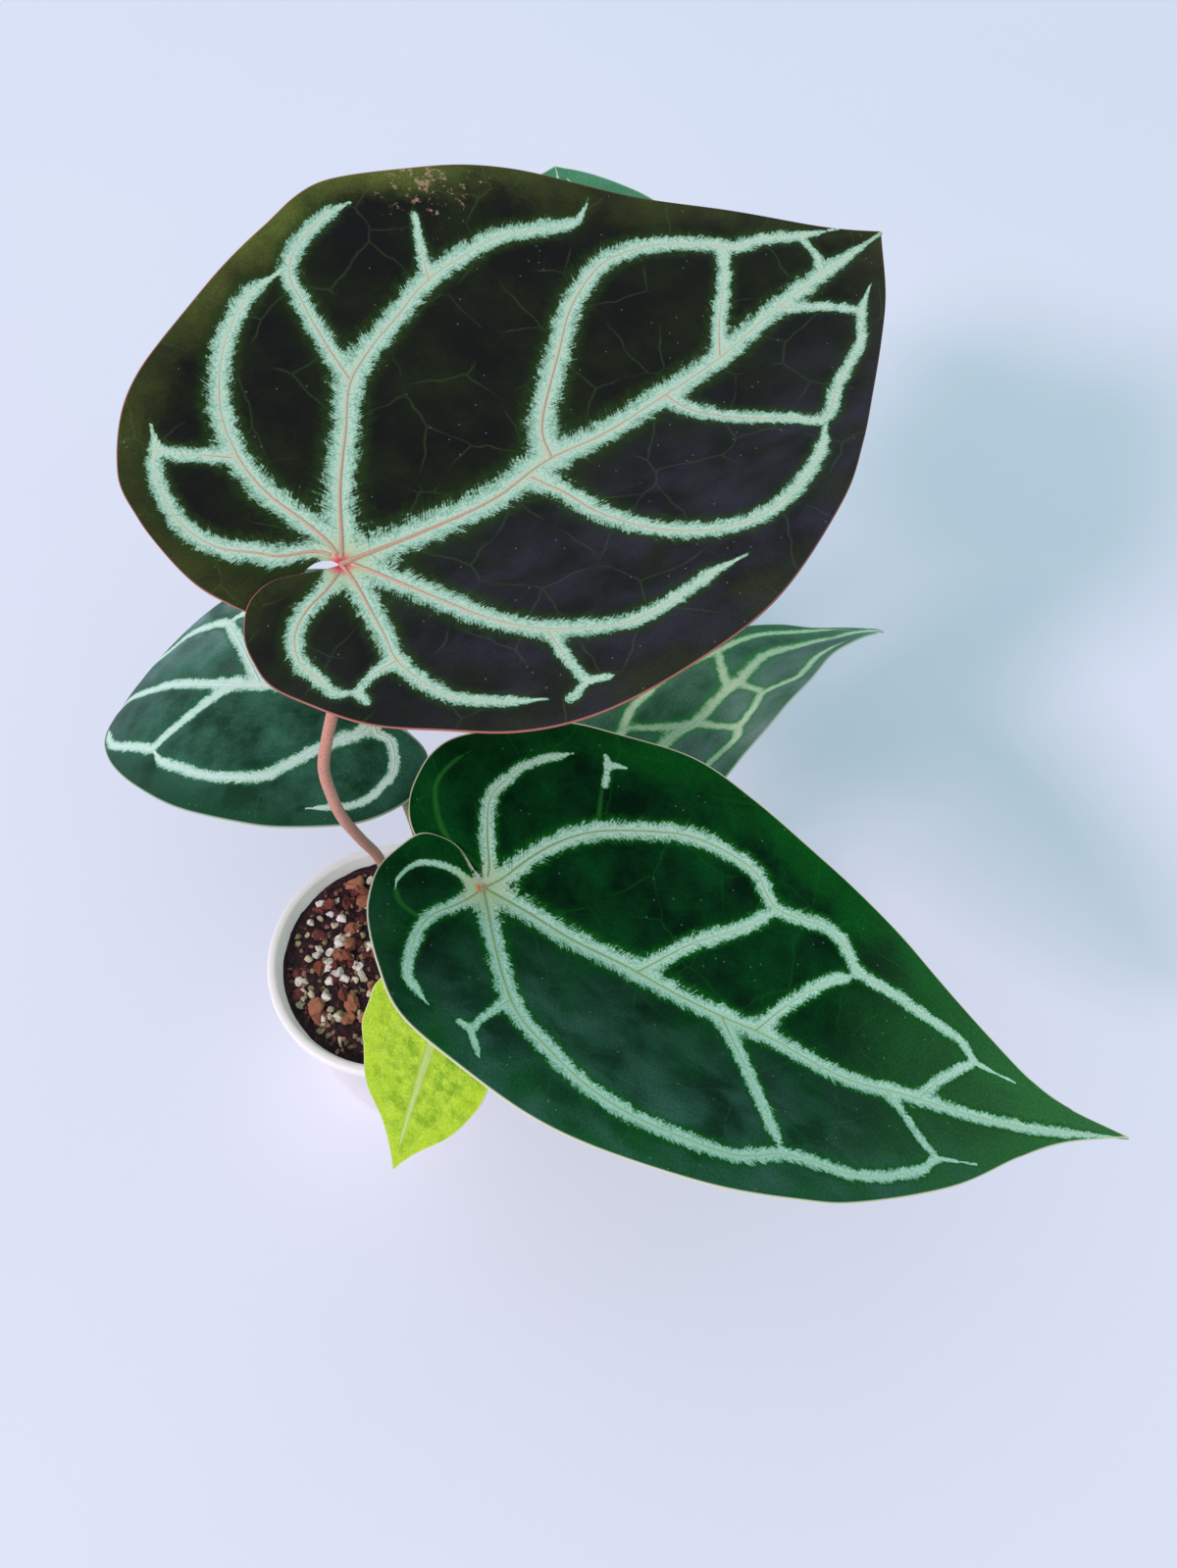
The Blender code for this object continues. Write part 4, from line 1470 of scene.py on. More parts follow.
@dataclass
class PottingMix:
    """Dark mix of bark, coir and pumice, with loose bits on its top."""

    pot: NurseryPot
    top: float = 82.0
    clearance: float = 0.35
    rings: int = 46
    sides: int = 150
    lump: float = 1.5
    stem_place: Pair = STEM_PLACE
    stem_clear: float = 7.2
    seed: int = 5

    def height_at(self, x: float, y: float) -> float:
        """Height of the rough top at a place.

        Args:
            x: how far right of the pot's axis the place is.
            y: how far behind it.

        Returns:
            The height over the table.
        """
        broad = noise.noise(Vector((x * 0.09, y * 0.09, 3.0)))
        crumb = noise.noise(Vector((x * 0.33, y * 0.33, 9.0)))
        grain = noise.noise(Vector((x * 0.9, y * 0.9, 1.0)))
        return self.top + self.lump * (0.8 * broad + 0.6 * crumb + 0.25 * grain)

    def build(self) -> bpy.types.Object:
        """Build the plug, scatter the bits on it and dress them.

        Returns:
            The mix with its bits.
        """
        mesh, bed = self.plug()
        mix = plain_object("potting_mix_bits", mesh)
        mesh.attributes.new("bed", "FLOAT", "POINT").data.foreach_set("value", bed)
        mesh.attributes.new("tone", "FLOAT", "POINT").data.foreach_set("value", self.tones(len(bed)))
        mesh.materials.append(ToneFinish("coir_and_crumbs", EARTH_TONES, 1.1).make())
        # Bits a square metre, smallest and largest size in mm, fineness, name and tones
        layers = (
            (150000.0, 0.6, 1.4, 1, "coir_crumb", COIR_TONES),
            (16000.0, 2.2, 4.2, 2, "bark_chip", BARK_TONES),
            (42000.0, 1.1, 2.6, 2, "pumice_grit", PUMICE_TONES),
        )
        for number, (density, small, large, detail, label, stops) in enumerate(layers):
            tree = self.scatter_tree(f"scatter_{label}")
            values = {
                "Density": density,
                "Smallest": small * MM,
                "Largest": large * MM,
                "Detail": detail,
                "Seed": self.seed + 11 * number,
                "Material": ToneFinish(label, stops, 0.8 + 0.5 * number).make(),
            }
            apply_tree(mix, tree, values)
        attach(mix, "root")
        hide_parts("potting_mix")
        return mix

    def tones(self, count: int) -> list[float]:
        """A seeded tone for each point of the plug."""
        draw = random.Random(self.seed)
        return [draw.uniform(0.1, 0.8) for _ in range(count)]

    def plug(self) -> tuple[bpy.types.Mesh, list[float]]:
        """Build the closed plug of mix and measure how much room its top has beside the wall and the stem.

        Returns:
            The mesh, and the room at each of its points in metres.
        """
        inset = self.pot.wall + self.clearance
        outer = self.pot.wall_radius(self.top) - inset
        points: list[Triple] = [(0.0, 0.0, self.height_at(0, 0))]
        bed = [outer * MM]
        for ring in range(1, self.rings + 1):
            radius = outer * ring / self.rings
            for x, y in circle(radius, self.sides):
                points.append((x, y, self.height_at(x, y)))
                from_stem = math.hypot(x - self.stem_place[0], y - self.stem_place[1]) - self.stem_clear
                bed.append(min(outer - radius, from_stem) * MM)
        low = self.pot.floor + self.clearance
        foot = self.pot.wall_radius(low) - inset - 3.0
        for radius, level in ((self.pot.wall_radius(60) - inset, 60.0), (foot + 1.0, low + 3.0), (foot, low)):
            points += [(x, y, level) for x, y in circle(radius, self.sides)]
        points.append((0.0, 0.0, low))
        # Nothing is sown on the sides and the underside
        bed += [0.0] * (len(points) - len(bed))
        last = len(points) - 1
        rows = self.rings + 3
        faces: list[tuple[int, ...]] = []
        for side in range(self.sides):
            after = (side + 1) % self.sides
            faces.append((0, 1 + side, 1 + after))
            for row in range(rows - 1):
                here = 1 + row * self.sides
                faces.append((here + side, here + self.sides + side, here + self.sides + after, here + after))
            end = 1 + (rows - 1) * self.sides
            faces.append((end + after, end + side, last))
        mesh = bpy.data.meshes.new("potting_mix_bits")
        mesh.from_pydata([(x * MM, y * MM, z * MM) for x, y, z in points], [], faces)
        mesh.shade_smooth()
        return mesh, bed

    def scatter_tree(self, name: str) -> bpy.types.NodeTree:
        """Tree that lays bits of random size, turn and tone on the bed and roughens them.

        Args:
            name: the tree's name.

        Returns:
            The tree, which joins the bits to the geometry that comes in.
        """
        sizes = {"Density": "Float", "Smallest": "Float", "Largest": "Float", "Detail": "Int", "Seed": "Int"}
        graph = MeshGraph(name, **sizes, Material="Material")
        given = graph.given
        limits = {0: graph.read("bed"), 1: graph.math("MULTIPLY", given["Largest"], 1.15)}
        clear = graph.add("FunctionNodeCompare", limits, operation="GREATER_THAN")[0]
        sowing = {label: given[label] for label in ("Density", "Seed")}
        sowing |= {"Mesh": given["Geometry"], "Selection": clear}
        spots = graph.add("GeometryNodeDistributePointsOnFaces", sowing)["Points"]
        round_bit = {"Radius": 1.0, "Subdivisions": given["Detail"]}
        ball = graph.add("GeometryNodeMeshIcoSphere", round_bit)["Mesh"]
        turn = graph.draw((-0.5, -0.5, 0.0), (0.5, 0.5, math.tau))
        squat = graph.draw((0.75, 0.5, 0.35), (1.15, 0.95, 0.7))
        scale = graph.scaled(squat, graph.draw(given["Smallest"], given["Largest"]))
        laying = {"Rotation": graph.add("FunctionNodeEulerToRotation", {0: turn})[0], "Scale": scale}
        laying |= {"Points": spots, "Instance": ball}
        bits = graph.add("GeometryNodeInstanceOnPoints", laying)[0]
        toned = graph.store(bits, "tone", graph.draw(0.0, 1.0), domain="INSTANCE")
        real = graph.real(graph.store(toned, "bed", 0.0, domain="INSTANCE"))
        rough = graph.noise(graph.add("GeometryNodeInputPosition")[0], 520.0, 1.0)["Color"]
        middle = {0: rough, 1: (0.5, 0.5, 0.5)}
        centred = graph.add("ShaderNodeVectorMath", middle, operation="SUBTRACT")[0]
        shift = graph.scaled(centred, given["Largest"])
        jagged = graph.add("GeometryNodeSetPosition", {"Geometry": real, "Offset": shift})[0]
        join = add_node(graph.tree, "GeometryNodeJoinGeometry", {"Geometry": given["Geometry"]})
        feed(graph.tree, join.inputs[0], graph.dressed(jagged))
        return graph.result(join.outputs[0])


@dataclass
class RingedStem:
    """The short stem that stands in the mix."""

    place: Pair = STEM_PLACE
    radius: float = STEM_RADIUS
    foot: float = 48.0
    top: float = 113.0
    sides: int = 48
    rows: int = 110
    ring_gap: float = 4.4
    scar: float = 0.35
    scar_width: float = 0.6
    dome: float = 7.0

    def radius_at(self, height: float, angle: float) -> float:
        """Radius of the stem with its ring scars and lumps.

        Args:
            height: level over the table.
            angle: direction from the stem's axis.

        Returns:
            The radius there.
        """
        dome = min(1.0, max(0.0, (self.top - height) / self.dome))
        beside = (height - self.foot) % self.ring_gap - self.ring_gap / 2
        scar = self.scar * math.exp(-((beside / self.scar_width) ** 2))
        lump = 0.3 * noise.noise(Vector((math.cos(angle) * 2, math.sin(angle) * 2, height * 0.25)))
        return (self.radius - self.scar + scar + lump) * math.sqrt(dome * (2 - dome))

    def build(self) -> bpy.types.Object:
        """Build the stem ring by ring and dress it.

        Returns:
            The stem.
        """
        rows = self.rows
        points: list[Triple] = []
        for row in range(rows):
            level = self.foot + (self.top - 0.05 - self.foot) * row / (rows - 1)
            for side in range(self.sides):
                angle = math.tau * side / self.sides
                radius = self.radius_at(level, angle)
                x, y = self.place[0] + radius * math.cos(angle), self.place[1] + radius * math.sin(angle)
                points.append((x, y, level))
        faces: list[tuple[int, ...]] = []
        for row in range(rows - 1):
            for side in range(self.sides):
                after = (side + 1) % self.sides
                here = row * self.sides
                faces.append((here + side, here + after, here + self.sides + after, here + self.sides + side))
        faces.append(tuple(range(self.sides))[::-1])
        faces.append(tuple(range((rows - 1) * self.sides, rows * self.sides)))
        mesh = bpy.data.meshes.new("stem_bark")
        mesh.from_pydata([(x * MM, y * MM, z * MM) for x, y, z in points], [], faces)
        mesh.materials.append(StemBark().make())
        mesh.shade_smooth()
        facing_out(mesh)
        stem = plain_object("stem_bark", mesh)
        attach(stem, "root")
        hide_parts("stem")
        return stem


@dataclass
class Studio:
    """Camera, soft light from the front left, and a pale paper floor, in metres."""

    camera_place: Triple = (0.080, -0.187, 0.532)
    camera_tilt: float = 31.0
    lens: float = 27.0
    key_from: Triple = (-1.06, -0.9, 1.0)
    key_towards: Triple = (0.08, 0.05, 0.15)
    key_distance: float = 7.0
    key_size: float = 1.2
    key_power: float = 280.0
    key_colour: str = "#ffcde0"
    sky: str = "#d9eef4"
    sky_strength: float = 0.82
    paper_half: float = 2.5
    paper_level: float = -0.0003

    def build(self) -> None:
        """Set up the camera, the light and the floor."""
        scene = bpy.context.scene
        scene.view_settings.view_transform = "Standard"
        data = bpy.data.cameras.new("camera")
        data.lens = self.lens
        camera = bpy.data.objects.new("camera", data)
        camera.location = self.camera_place
        camera.rotation_euler = (math.radians(self.camera_tilt), 0, 0)
        scene.collection.objects.link(camera)
        scene.camera = camera
        lamp = bpy.data.lights.new("window", "AREA")
        lamp.size = self.key_size
        lamp.energy = self.key_power
        lamp.color = linear(self.key_colour)[:3]
        key = bpy.data.objects.new("window", lamp)
        way = Vector(self.key_from).normalized()
        key.location = way * self.key_distance + Vector(self.key_towards)
        key.rotation_euler = way.to_track_quat("Z", "Y").to_euler()
        scene.collection.objects.link(key)
        world = bpy.data.worlds.new("room")
        world.use_nodes = True
        background = world.node_tree.nodes["Background"]
        background.inputs["Color"].default_value = linear(self.sky)
        background.inputs["Strength"].default_value = self.sky_strength
        scene.world = world
        mesh = bpy.data.meshes.new("floor")
        half, level = self.paper_half, self.paper_level
        corners = [(x * half, y * half, level) for x, y in ((-1, -1), (1, -1), (1, 1), (-1, 1))]
        mesh.from_pydata(corners, [], [(0, 1, 2, 3)])
        mesh.materials.append(PaperFloor().make())
        plain_object("floor", mesh)


BLACKISH_FACE = VelvetFinish(
    name="blackish_velvet",
    interior="#0b0b09",
    interior_light="#171f0a",
    near_margin="#5b6829",
    painted_sheen_tint="#2c2a36",
    halo="#233f0e",
    mint="#c0e8d4",
    mint_deep="#86b496",
    margin="#bd776c",
    spot="#e22f58",
    fine="#4a6638",
    core="#ccd0ae",
    margin_ends=(0.6, 1.5),
    margin_width=0.25,
    halo_reach=2.3,
    halo_strength=0.8,
    margin_right=0.2,
    margin_tip=0.3,
    spot_radius=6.0,
    scarred=True,
)
EMERALD_FACE = VelvetFinish(
    name="emerald_velvet",
    interior="#021f0e",
    interior_light="#05421a",
    near_margin="#085619",
    painted_sheen_tint="#356150",
    halo="#0c5a10",
    mint="#c6eedb",
    mint_deep="#80bb98",
    margin="#e2e6c2",
    spot="#d9703c",
    fine="#237a24",
    core="#a5cf9f",
    sheen=0.0,
    gloss=0.04,
    fade=0.25,
    margin_reach=20.0,
    tip_tint="#3d7a45",
    fine_strength=0.13,
    margin_width=0.32,
    spot_radius=3.0,
)
BLUISH_FACE = VelvetFinish(
    name="bluish_velvet",
    interior="#0e3c24",
    interior_light="#376f58",
    near_margin="#104629",
    painted_sheen_tint="#7da69e",
    halo="#17663a",
    mint="#d4f5e6",
    mint_deep="#a9dcc2",
    margin="#b9cdb0",
    spot="#d68a5a",
    fine="#2c6a4c",
    core="#dcf6e6",
    feather=1.2,
    fade=0.5,
    sheen=0.1,
)
# For the leaf in the shade of the largest one: a paler copy of the bluish finish, partly the leaf's own paler
# tone and partly painted light that lifts its colours against that shade
SHADE_LIFTED_FACE = VelvetFinish(
    name="shade_lifted_green_velvet",
    interior="#2c5f42",
    interior_light="#5a8a70",
    near_margin="#37784e",
    painted_sheen_tint="#7d9a90",
    halo="#2f8a48",
    mint="#cdeec6",
    mint_deep="#a8d8a0",
    margin="#b9cdb0",
    spot="#d68a5a",
    fine="#3a7a4c",
    core="#e0f6d4",
    halo_reach=2.6,
    feather=0.8,
    fade=0.8,
    sheen=0.2,
)
LIME_FACE = VelvetFinish(
    name="young_lime_leaf",
    interior="#76a814",
    interior_light="#b4da3c",
    near_margin="#a6cf28",
    painted_sheen_tint="#b0d83c",
    halo="#9cc03c",
    mint="#b2d47c",
    mint_deep="#a9c860",
    margin="#cfdc90",
    spot="#c6cc80",
    fine="#b7dc58",
    faint_tint="#c3dd68",
    faint_strength=0.16,
    core="#c2dc92",
    margin_width=0.3,
    feather=0.8,
    sheen=0.05,
    fine_strength=0.7,
    nap=0.75,
    net_scale=19.0,
    cloud_scale=16.0,
    dust=0.0,
)
GREEN_FACE = VelvetFinish(
    name="mid_green_velvet",
    interior="#2f6f48",
    interior_light="#4a8a62",
    near_margin="#4a9068",
    painted_sheen_tint="#4a8a62",
    halo="#3f8a55",
    mint="#cfe9dc",
    mint_deep="#9fcbb2",
    margin="#c5d8c0",
    spot="#d68a5a",
    fine="#5a9a70",
    core="#cfe9d4",
)

BLACKISH_BACK = UndersideFinish("blackish_leaf_back", "#4c4a34", "#5f5c40", "#a9b28c")
EMERALD_BACK = UndersideFinish("emerald_leaf_back", "#4c7350", "#628a63", "#b4cfa4")
BLUISH_BACK = UndersideFinish("bluish_leaf_back", "#547d62", "#6b9376", "#bdd8b4")
LIME_BACK = UndersideFinish("lime_leaf_back", "#9cc64a", "#b4d66a", "#d6e6a8")
GREEN_BACK = UndersideFinish("green_leaf_back", "#6a9a74", "#84b08c", "#c8e0c0")

SALMON_STALK = StalkFinish("salmon_stalk", "#a97463", "#cb9580", "#97604f")
OLIVE_STALK = StalkFinish("olive_stalk", "#6d7444", "#8d9160", "#4f5a34")
LIME_STALK = StalkFinish("lime_stalk", "#7d9a40", "#a3bf58", "#5f7a34")


def heart_veins(
    length: float, wide: float, sides: tuple[Side, ...], band: float, faint: bool = False
) -> tuple[Vein, ...]:
    """Veins of a heart-shaped blade, from the usual pattern of the kind.

    Args:
        length: from the attachment to the tip.
        wide: how broad the blade is against the usual one.
        sides: the halves that get them.
        band: half width of the widest band.
        faint: whether they have only raised lines and no pale bands.

    Returns:
        The veins of those halves, without the midrib.
    """
    # Points in shares of the blade's length, and shares of the band's width at both ends
    pattern = (
        (((0, 0), (0.05, 0.055), (0.13, 0.13), (0.24, 0.185), (0.37, 0.19), (0.5, 0.165), (0.64, 0.115),
          (0.8, 0.06), (0.92, 0.02)), 1.0, 0.55),
        (((0, 0), (-0.01, 0.06), (0.0, 0.13), (0.05, 0.19), (0.12, 0.23), (0.2, 0.235), (0.28, 0.215)),
         0.9, 0.55),
        (((-0.01, 0.01), (-0.06, 0.045), (-0.1, 0.09), (-0.09, 0.15), (-0.04, 0.2), (0.0, 0.225)), 0.75, 0.5),
        (((0.26, 0), (0.33, 0.06), (0.39, 0.12), (0.46, 0.165)), 0.7, 0.5),
        (((0.5, 0), (0.57, 0.045), (0.63, 0.09), (0.68, 0.1)), 0.6, 0.45),
    )
    found = []
    for side in sides:
        for points, start, end in pattern:
            placed = tuple((x * length, y * length * wide * side.value) for x, y in points)
            found.append(Vein(placed, band * start, band * end, side, faint=faint))
    return tuple(found)


def top_dark_leaf() -> Leaf:
    """The largest leaf, brown-black, whose back lobes overlap.

    Returns:
        The leaf.
    """
    left, right = Side.LEFT, Side.RIGHT
    veins = (
        Vein(((0, 0), (29, -3), (53, -4), (76, 0), (98, -1), (122, 1), (149, 4), (177, 10), (204, 14),
             (234, 17)), 4.9, 2.4),
        Vein(((1, 2), (13, 23), (26, 41), (36, 55), (48, 63), (63, 70), (78, 77), (94, 80), (111, 81),
             (124, 78), (139, 75), (149, 81)), 4.2, 2.2, left),
        Vein(((37, 57), (37, 72), (38, 87), (40, 99), (49, 107), (64, 113), (72, 114)), 3.0, 1.9, left),
        Vein(((80, 77), (85, 90), (91, 104)), 2.0, 0.8, left),
        Vein(((0, 4), (-3, 20), (-7, 34), (-8, 48), (-5, 64), (3, 79), (13, 90), (24, 97), (37, 100)), 3.7,
             2.4, left),
        Vein(((-10, 49), (-16, 53), (-23, 57), (-28, 62)), 2.2, 1.7, left),
        Vein(((-4, 3), (-14, 9), (-20, 16), (-29, 24), (-34, 35), (-34, 48), (-31, 58), (-28, 63),
             (-25.5, 70)), 3.4, 1.7, left),
        Vein(((78, 0), (83, 13), (104, 34), (118, 47), (135, 56), (147, 57), (160, 54), (175, 46),
             (183, 40), (195, 37), (209, 31), (221, 27)), 3.9, 1.9, left),
        Vein(((151, 5), (159, 16), (169, 27), (177, 37), (180, 45)), 2.4, 2.0, left),
        Vein(((204, 15), (207, 22), (207, 33)), 1.4, 1.0, left),
        Vein(((125, 1), (128, -10), (138, -22), (150, -32), (159, -40), (172, -31), (183, -25), (193, -19),
             (202, -9), (214, 0)), 2.7, 1.2, right),
        Vein(((182, 10), (194, 1), (202, -8)), 1.9, 1.7, right),
        Vein(((68, -3), (73, -15), (76, -28), (83, -42), (93, -53), (105, -60), (118, -62), (134, -58),
             (149, -50), (159, -40)), 3.4, 1.8, right),
        Vein(((3, -2), (11, -17), (18, -31), (25, -45), (34, -57), (46, -66), (59, -72), (77, -72),
             (89, -71), (101, -72)), 3.9, 1.7, right),
        Vein(((36, -60), (34, -76), (34, -83)), 1.9, 1.3, right),
        Vein(((27, -85), (34, -83), (41, -86)), 1.3, 0.9, right),
        Vein(((0, 0), (-1, -13), (-3, -31), (-5, -43), (-3, -55), (1, -65), (10, -73), (22, -81)), 3.3, 1.4,
             right),
        Vein(((-5, -43), (-11, -43), (-19, -46), (-19, -53)), 1.7, 1.1, right),
        Vein(((-3, -2), (-10, -6), (-18, -10), (-25, -17), (-28, -26), (-27, -33), (-25, -43), (-19, -46)),
             3.0, 1.6, right),
    )
    return Leaf(
        name="leaf_top_dark",
        slot="leaf_blackish",
        pose=Pose((4, 56, 258), 35, 0, 5, -0.3, 0, 0.12, 1.5),
        left=(
            (234, 17), (217, 30), (191, 54), (162, 76), (129, 102), (102, 116), (69, 124), (41, 116),
            (15, 107), (-8, 95), (-30, 79), (-42, 60), (-44, 44), (-43, 31), (-40, 17), (-36, 7), (-30, -1),
            (-22, -4), (-12, -3),
        ),
        right=(
            (234, -17), (215, 7), (198, 24), (179, 41), (160, 57), (137, 73), (99, 90), (65, 96), (35, 95),
            (9, 86), (-10, 71), (-28, 51), (-38, 31), (-39, 19), (-37, 9), (-32, 0), (-25, -4), (-17, -5),
            (-8, -3),
        ),
        veins=veins,
        face=BLACKISH_FACE,
        underside=BLACKISH_BACK,
        rib_colours=("#c4cfb0", "#c9a189"),
        crest=((0, 0), (53, -4), (76, 0), (149, 4), (204, 14), (234, 17)),
        wave=0.9,
        waves=11,
        lobe_over=1.0,
        notch=68.0,
        notch_reach=12.5,
        ring_gap=1.6,
        rib_radius=0.5,
        swell=0.9,
        band_width=1.2,
    )


def front_emerald_leaf() -> Leaf:
    """The long green leaf in front, whose tip droops to the right.

    Returns:
        The leaf.
    """
    left, right = Side.LEFT, Side.RIGHT
    veins = (
        Vein(((0, 0), (16, -1), (33, -3), (52, -3), (70, -4), (88, -4), (105, -3), (132, -4), (155, 1),
             (178, 5), (201, 11), (218, 17), (236, 24)), 4.0, 1.5),
        Vein(((0, 0), (4, 6), (9, 16), (16, 26), (26, 35), (42, 43), (56, 48), (70, 49), (82, 47), (93, 39),
             (112, 41), (121, 37), (127, 32), (140, 31), (155, 29), (169, 27), (176, 23), (191, 23)), 3.4,
             1.5, left),
        Vein(((57, -3), (70, 14), (83, 26), (93, 38)), 2.7, 2.2, left),
        Vein(((100, -3), (108, 11), (118, 24), (126, 30)), 2.4, 1.8, left),
        Vein(((160, 3), (167, 14), (176, 23)), 1.9, 1.5, left),
        Vein(((26, 36), (23, 45), (21, 53)), 1.2, 0.9, left, faint=True),
        Vein(((22, 52), (20, 59), (17, 62)), 1.2, 0.7, left, False),
        Vein(((20, 59), (27, 61)), 1.2, 0.5, left, False),
        Vein(((-2, 4), (-7, 17), (-11, 29), (-9, 38), (-4, 47), (8, 57)), 3.0, 1.2, left),
        Vein(((-4, 2), (-10, 5), (-17, 9), (-24, 16), (-29, 25), (-28, 33), (-24, 41)), 1.4, 0.9, left,
             faint=True),
        Vein(((0, 0), (9, -15), (19, -30), (27, -39), (38, -45), (52, -51), (68, -54), (86, -53),
             (102, -50), (116, -42), (128, -39), (142, -36), (161, -25), (168, -17), (182, -12)), 3.4, 1.5,
             right),
        Vein(((88, -4), (98, -16), (107, -28), (115, -40)), 2.5, 2.2, right),
        Vein(((148, -1), (155, -6), (161, -12), (168, -17)), 1.7, 1.4, right),
        Vein(((23, -35), (18, -45), (16, -52)), 1.5, 1.1, right),
        Vein(((12, -51), (16, -52), (21, -59)), 1.2, 1.0, right, False),
        Vein(((-1, -2), (-5, -9), (-11, -20), (-11, -32), (-8, -43), (-3, -47), (2, -50)), 2.6, 1.2, right),
        Vein(((-2, 0), (-8, 2), (-14, 2), (-22, -2), (-25, -11), (-24, -16)), 1.6, 0.4, right, False),
        Vein(((-24, -16), (-20, -20), (-11, -22)), 1.3, 1.3, right, faint=True),
    )
    return Leaf(
        name="leaf_front_emerald",
        slot="leaf_emerald",
        pose=Pose((45.5, -20, 189), -22, -14, -10, 0.3, 0, 0.22, 0.8),
        left=(
            (236, 24), (214, 23.5), (197, 26), (178, 33), (157, 42), (138, 51), (119, 58), (101, 63),
            (72, 70), (44, 75), (16, 70), (-8, 62), (-28, 46), (-35, 36), (-36, 25), (-34, 16), (-29, 8),
            (-20, 2), (-11, 0.5),
        ),
        right=(
            (236, -24), (213, -11), (196, 3), (174, 24), (143, 45), (124, 54), (94, 64), (57, 69), (27, 67),
            (-2, 58), (-17, 45), (-27, 30), (-31, 19), (-32, 9), (-30, 0), (-25, -8), (-17, -11),
            (-10, -9.5), (-4, -5),
        ),
        veins=veins,
        face=EMERALD_FACE,
        underside=EMERALD_BACK,
        rib_colours=("#a9cfa0", "#86a870"),
        crest=((0, 0), (52, -3), (105, -3), (155, 1), (201, 11), (236, 24)),
        wave=0.9,
        lobe_over=1.0,
        notch=58.0,
        ring_gap=1.6,
        rib_radius=0.4,
        band_width=1.06,
    )


def left_lower_leaf() -> Leaf:
    """The lower leaf on the left, whose tip arches down out of sight.

    Returns:
        The leaf.
    """
    left, right = Side.LEFT, Side.RIGHT
    half = (
        (182, 0), (165, 4), (150, 11), (131, 24), (107, 38), (81, 49), (53, 57), (25, 57), (8, 54),
        (-6, 48), (-16, 41), (-24, 32), (-27, 21), (-24, 11), (-16, 5), (-8, 2.5),
    )
    veins = (
        Vein(((0, 0), (18, -1), (37, -1), (61, 1), (78, 1), (99, 0), (119, 0), (142, -2), (182, 0)), 3.4,
             1.3),
        Vein(((50, -1), (62, -12), (76, -24), (85, -30), (98, -30), (112, -28), (123, -23), (139, -20),
             (155, -8)), 2.8, 1.5, right),
        Vein(((0, 0), (9, -14), (22, -30), (38, -40), (54, -42), (68, -38), (77, -34), (85, -30)), 3.1, 2.2,
             right),
        Vein(((-1, -2), (-7, -12), (-9, -24), (-4, -36), (8, -44), (20, -47)), 2.4, 1.2, right),
        Vein(((61, 1), (69, 9), (76, 18), (82, 25), (86, 31), (96, 30), (120, 26), (145, 12)), 2.8, 1.5,
             left),
        Vein(((0, 0), (1, 10), (7, 16), (14, 22), (20, 29), (29, 38), (41, 41), (51, 42), (64, 40),
             (77, 37), (85, 32)), 2.8, 2.0, left),
        Vein(((-1, 3), (-4, 9), (-10, 10), (-15, 20), (-14, 28), (-10, 36), (-4, 41), (8, 46)), 2.3, 1.2,
             left),
    )
    return Leaf(
        name="leaf_left_lower",
        slot="leaf_bluish",
        pose=Pose((3, 58, 177), 162.5, 3.8, -2, 6.6, 2.7, -0.03, 1.7),
        left=half,
        right=half,
        veins=veins,
        face=BLUISH_FACE,
        underside=BLUISH_BACK,
        rib_colours=("#d6f2e4", "#c6e8d8"),
        rib_radius=0.45,
    )


def right_lower_leaf() -> Leaf:
    """The lower leaf on the right, long and drawn out, half hidden by the leaf in front.

    Returns:
        The leaf.
    """
    left, right = Side.LEFT, Side.RIGHT
    veins = (
        Vein(((0, 0), (51, 1), (67, -3), (82, -1), (95, 0), (113, 4), (131, 0), (148, -3), (163, -1),
             (178, 2), (191, 6.5), (203, 12)), 3.5, 1.1),
        Vein(((0, 0), (8, 13), (22, 24), (34, 23), (46, 20), (55, 24), (63, 25), (80, 25), (102, 20),
             (121, 17), (142, 8), (165, 3)), 2.3, 1.2, left),
        Vein(((64, -1), (56, 10), (50, 19)), 1.8, 1.5, left),
        Vein(((88, 0), (95, 10), (102, 19)), 1.8, 1.5, left),
        Vein(((-1, 2), (-6, 10), (-10, 20), (-2, 29), (12, 33), (26, 34)), 1.8, 0.8, left),
        Vein(((0, 0), (8, -12), (22, -24), (36, -29), (48, -29), (62, -30), (69, -26), (81, -22), (90, -18),
             (98, -21), (106, -23), (124, -16), (146, -12)), 2.3, 1.2, right),
        Vein(((93, 0), (92, -8), (91, -17)), 1.7, 1.5, right),
        Vein(((66, -3), (67, -14), (69, -26)), 1.8, 1.6, right),
        Vein(((-1, -2), (-6, -10), (-10, -20), (-2, -29), (12, -34), (28, -36)), 1.8, 0.8, right),
    )
    return Leaf(
        name="leaf_right_lower",
        slot="leaf_bluish",
        pose=Pose((78.5, 25, 133), 53, 18.3, -27.4, 3.4, 26, 0.23, -0.4),
        left=(
            (203, 12), (191, 8), (178, 5), (162, 5.5), (148, 9), (137, 17), (122, 25), (100, 33), (75, 39),
            (50, 42), (28, 41), (8, 37), (-8, 31), (-20, 23), (-26, 14), (-23, 7), (-14, 4), (-7, 2),
        ),
        right=(
            (203, -12), (191, -5.5), (178, 2), (162, 9.5), (146, 15), (128, 20), (105, 30), (87, 35),
            (69, 40), (46, 42), (25, 41), (8, 37), (-8, 31), (-20, 23), (-26, 14), (-23, 7), (-14, 4),
            (-7, 2),
        ),
        veins=veins,
        face=SHADE_LIFTED_FACE,
        underside=BLUISH_BACK,
        rib_colours=("#dcf2d4", "#c2e4bc"),
        spine=((0, 0), (131, 0), (148, -3), (163, -1), (178, 2), (191, 6.5), (203, 12)),
        rib_radius=0.45,
        band_width=1.06,
    )


